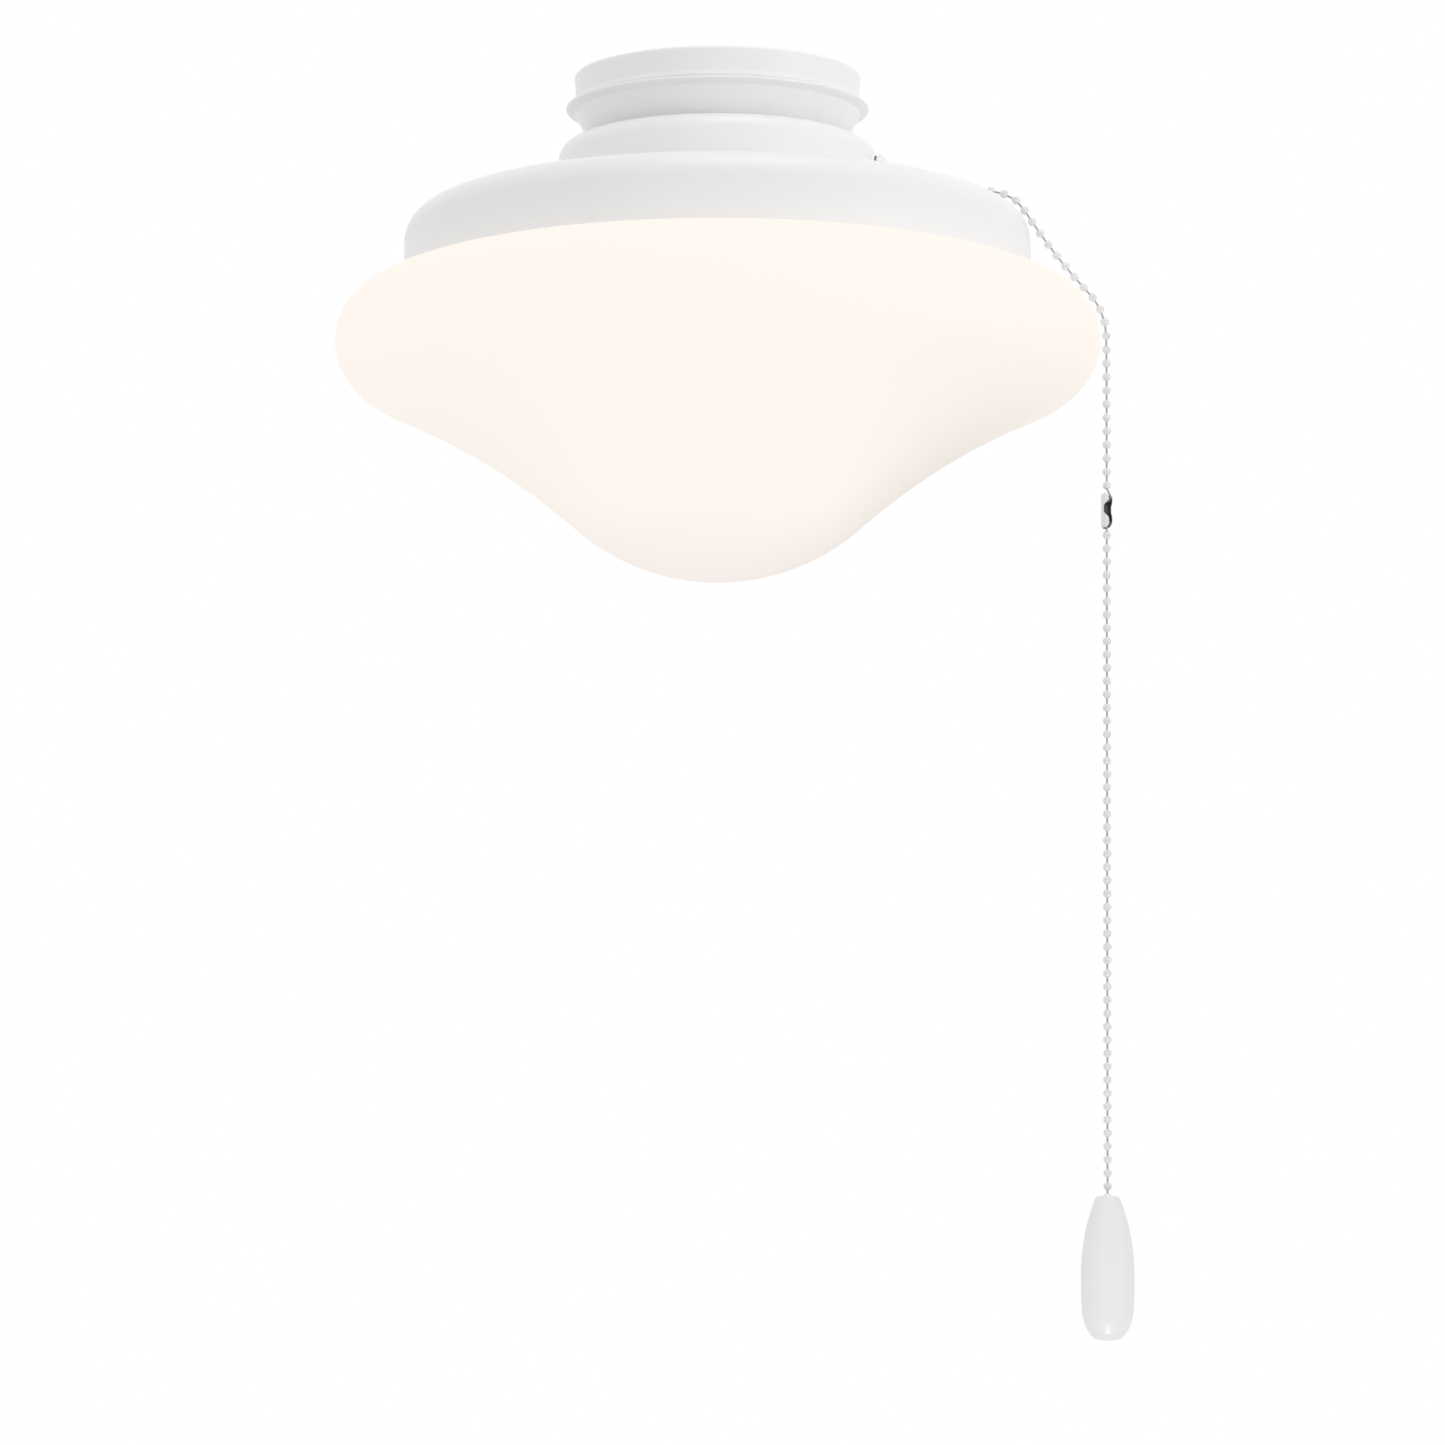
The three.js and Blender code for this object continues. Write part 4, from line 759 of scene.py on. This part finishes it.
# %% Mix the plain finishes
coat("porcelain", (0.86, 0.84, 0.78), 0.18, 0.02, 120, Coat_Weight=0.5)
coat("black_plastic", (0.02, 0.02, 0.022), 0.45, 0.1, 300, ripple=(3000, 0.02))
coat("fibre_board", (0.24, 0.12, 0.05), 0.75, 0.2, 900, ripple=(2500, 0.05))
coat("white_plastic", (0.82, 0.82, 0.8), 0.4, 0.02, 200, ripple=(2500, 0.01))
coat("orange_plastic", (0.75, 0.3, 0.05), 0.4, 0.05, 200, ripple=(2500, 0.01))
coat("mineral_pad", (0.62, 0.58, 0.5), 0.95, 0.15, 900, ripple=(1500, 0.3))
coat("black_lead", (0.02, 0.02, 0.022), 0.4, 0.1, 300)
coat("white_lead", (0.8, 0.8, 0.78), 0.4, 0.03, 300)
coat("green_lead", (0.03, 0.25, 0.08), 0.4, 0.05, 300)
coat("fob_paint", (0.88, 0.88, 0.88), 0.4, 0.01, 80, ripple=(500, 0.02), Coat_Weight=0.2)
print(len(finishes), "finishes so far")

# %% [markdown]
# ## Chain finish
#
# The beads are lacquered, so they stay pale grey, but the wire between them is bare and looks
# darker. The attribute that marks the wire chooses between the two, and its value 2 paints shade on
# the inner face of the coupling and on the beads in it and in the fob, which makes them nearly black.

# %% Mix the chain's finish
lacquer = Finish("chain_metal", Coat_Weight=0.3)
wire_and_painted_shade = lacquer.node("ShaderNodeAttribute", {"attribute_name": "wire"}, output="Fac")
bare = lacquer.blend(wire_and_painted_shade, (0.8, 0.8, 0.8), (0.4, 0.4, 0.41))
# Where the mark is 2, painted shade makes the colour nearly black.
lacquer.set("Base Color", lacquer.blend(wire_and_painted_shade - 1, bare, (0.07, 0.07, 0.07)))
lacquer.set("Roughness", lacquer.noise(600) * GLOSS_DRIFT + 0.27)
finishes["chain_metal"] = lacquer.material
print("chain finish mixed")

# %% [markdown]
# ## Lit opal glass
#
# Opal glass scatters the lamps' light so well that the bowl glows as one warm white shape and the
# lamps can't be seen. The glow is painted light: an emission colour stands in for the lamps' light.
# It is strongest round the widest part and falls off towards the bottom, which is further from the
# lamps. Where the flank turns away from the eye, most of all on the right, painted shade darkens
# it. Its outer face is satin, so it shows no sharp highlight.

# %% Mix the glowing glass
# Emission colours, all painted light; the flank's colour is darker by painted shade.
SHADE_GLOW, BOTTOM_GLOW, FLANK_SHADED_GLOW = (0.92, 0.855, 0.795), (0.88, 0.81, 0.785), (0.76, 0.71, 0.665)

opal = Finish(
    "opal_glass", Base_Color=(0.1, 0.096, 0.09), Roughness=0.6, Specular_IOR_Level=0.0,
    Emission_Strength=1.0,
)
height = opal.node("ShaderNodeSeparateXYZ", {}, {0: opal.place()}, output="Z")
even = opal.noise(9, 1) * 0.04 - 0.02
glow = opal.blend(opal.ramp(height, -0.192, -0.165) + even, BOTTOM_GLOW, SHADE_GLOW)
across = opal.node("ShaderNodeSeparateXYZ", {}, {0: opal.place()}, output="X")
aside = opal.node("ShaderNodeLayerWeight", {}, {"Blend": 0.5}, output="Facing")
to_right = opal.ramp(across, -0.02, 0.08) * 0.6 + 0.3
# Painted shade: the emission darkens low on the flank where it turns away, more on the right.
painted_shade_share = opal.ramp(height, -0.1, -0.145) * opal.ramp(aside, 0.25, 0.95) * to_right
opal.set("Emission Color", opal.blend(painted_shade_share, glow, FLANK_SHADED_GLOW))
finishes["opal_glass"] = opal.material
print("glass glows")

# %% [markdown]
# ## Giving the finishes
#
# The record names a slot for every CAD node, and each new piece was given one when it was made, so
# one loop can hand out the materials.

# %% Give every piece its finish
for entry in frame["record"]["subparts"]:
    node = frame["nodes"][entry["node"]]
    node.data.materials.clear()
    node.data.materials.append(finishes[entry["material_slot"]])
for piece in bpy.context.scene.objects:
    if piece.type == "MESH" and "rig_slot" in piece:
        piece.data.materials.clear()
        piece.data.materials.append(finishes[piece["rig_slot"]])
print("finishes given")

# %% [markdown]
# ## Light and surroundings
#
# The photograph was taken against plain white with soft light from the right. A white surround fills
# the shadows. A narrow beam from the right brightens that side of the paint, a large lamp above and a
# smaller one below shape the rounds, and a weak narrow one lifts only the fob. A pale floor lies far
# beneath.

AMBIENT = (0.79, 0.79, 0.79)

world = bpy.data.worlds.new("surround")
bpy.context.scene.world = world
world.use_nodes = True
nodes, links = world.node_tree.nodes, world.node_tree.links
rays = nodes.new("ShaderNodeLightPath").outputs


def either(first, second):
    """1 where one of two ray kinds is 1."""
    larger = nodes.new("ShaderNodeMath")
    larger.operation = "MAXIMUM"
    links.new(first, larger.inputs[0])
    links.new(second, larger.inputs[1])
    return larger.outputs[0]


seen_white = either(either(rays["Is Camera Ray"], rays["Is Transmission Ray"]), rays["Is Glossy Ray"])
white = nodes.new("ShaderNodeMix")
white.data_type = "RGBA"
white.inputs[6].default_value = (*AMBIENT, 1)
white.inputs[7].default_value = (1, 1, 1, 1)
links.new(seen_white, white.inputs[0])
links.new(white.outputs[2], nodes["Background"].inputs["Color"])
nodes["Background"].inputs["Strength"].default_value = 1.0


def area_lamp(name, place, aim, size, power, spread=180):
    lamp = bpy.data.objects.new(name, bpy.data.lights.new(name, "AREA"))
    lamp.data.size, lamp.data.energy, lamp.data.spread = size, power, math.radians(spread)
    lamp.location = place
    lamp.rotation_euler = (Vector(aim) - lamp.location).to_track_quat("-Z", "Y").to_euler()
    bpy.context.scene.collection.objects.link(lamp)


area_lamp("key", (2.1, -1, -0.3), (0, 0, 0.02), 0.6, 0.19, spread=18)
area_lamp("top", (0.3, -0.7, 2.4), (0, 0, -0.05), 1.5, 12)
area_lamp("low", (0.2, -0.9, -2.4), (0.1, 0, -0.3), 1, 6)
area_lamp("fob_fill", (0.145, -0.6, -1.35), (0.145, 0, -0.458), 0.15, 0.016, spread=14)
print("lights placed")

# %% Lay the floor
FLOOR_HEIGHT, FLOOR_HALF_WIDTH = -2500, 6000

bm = bmesh.new()
bmesh.ops.create_grid(
    bm, x_segments=1, y_segments=1, size=FLOOR_HALF_WIDTH,
    matrix=Matrix.Translation((0, 0, FLOOR_HEIGHT)),
)
floor = to_object("floor", bm)
plain = Finish("floor", Base_Color=(0.8, 0.8, 0.8), Roughness=0.7)
from_below = plain.node("ShaderNodeNewGeometry", output="Backfacing")
plain.set("Alpha", 1 - from_below)
floor.data.materials.append(plain.material)
print("floor laid")
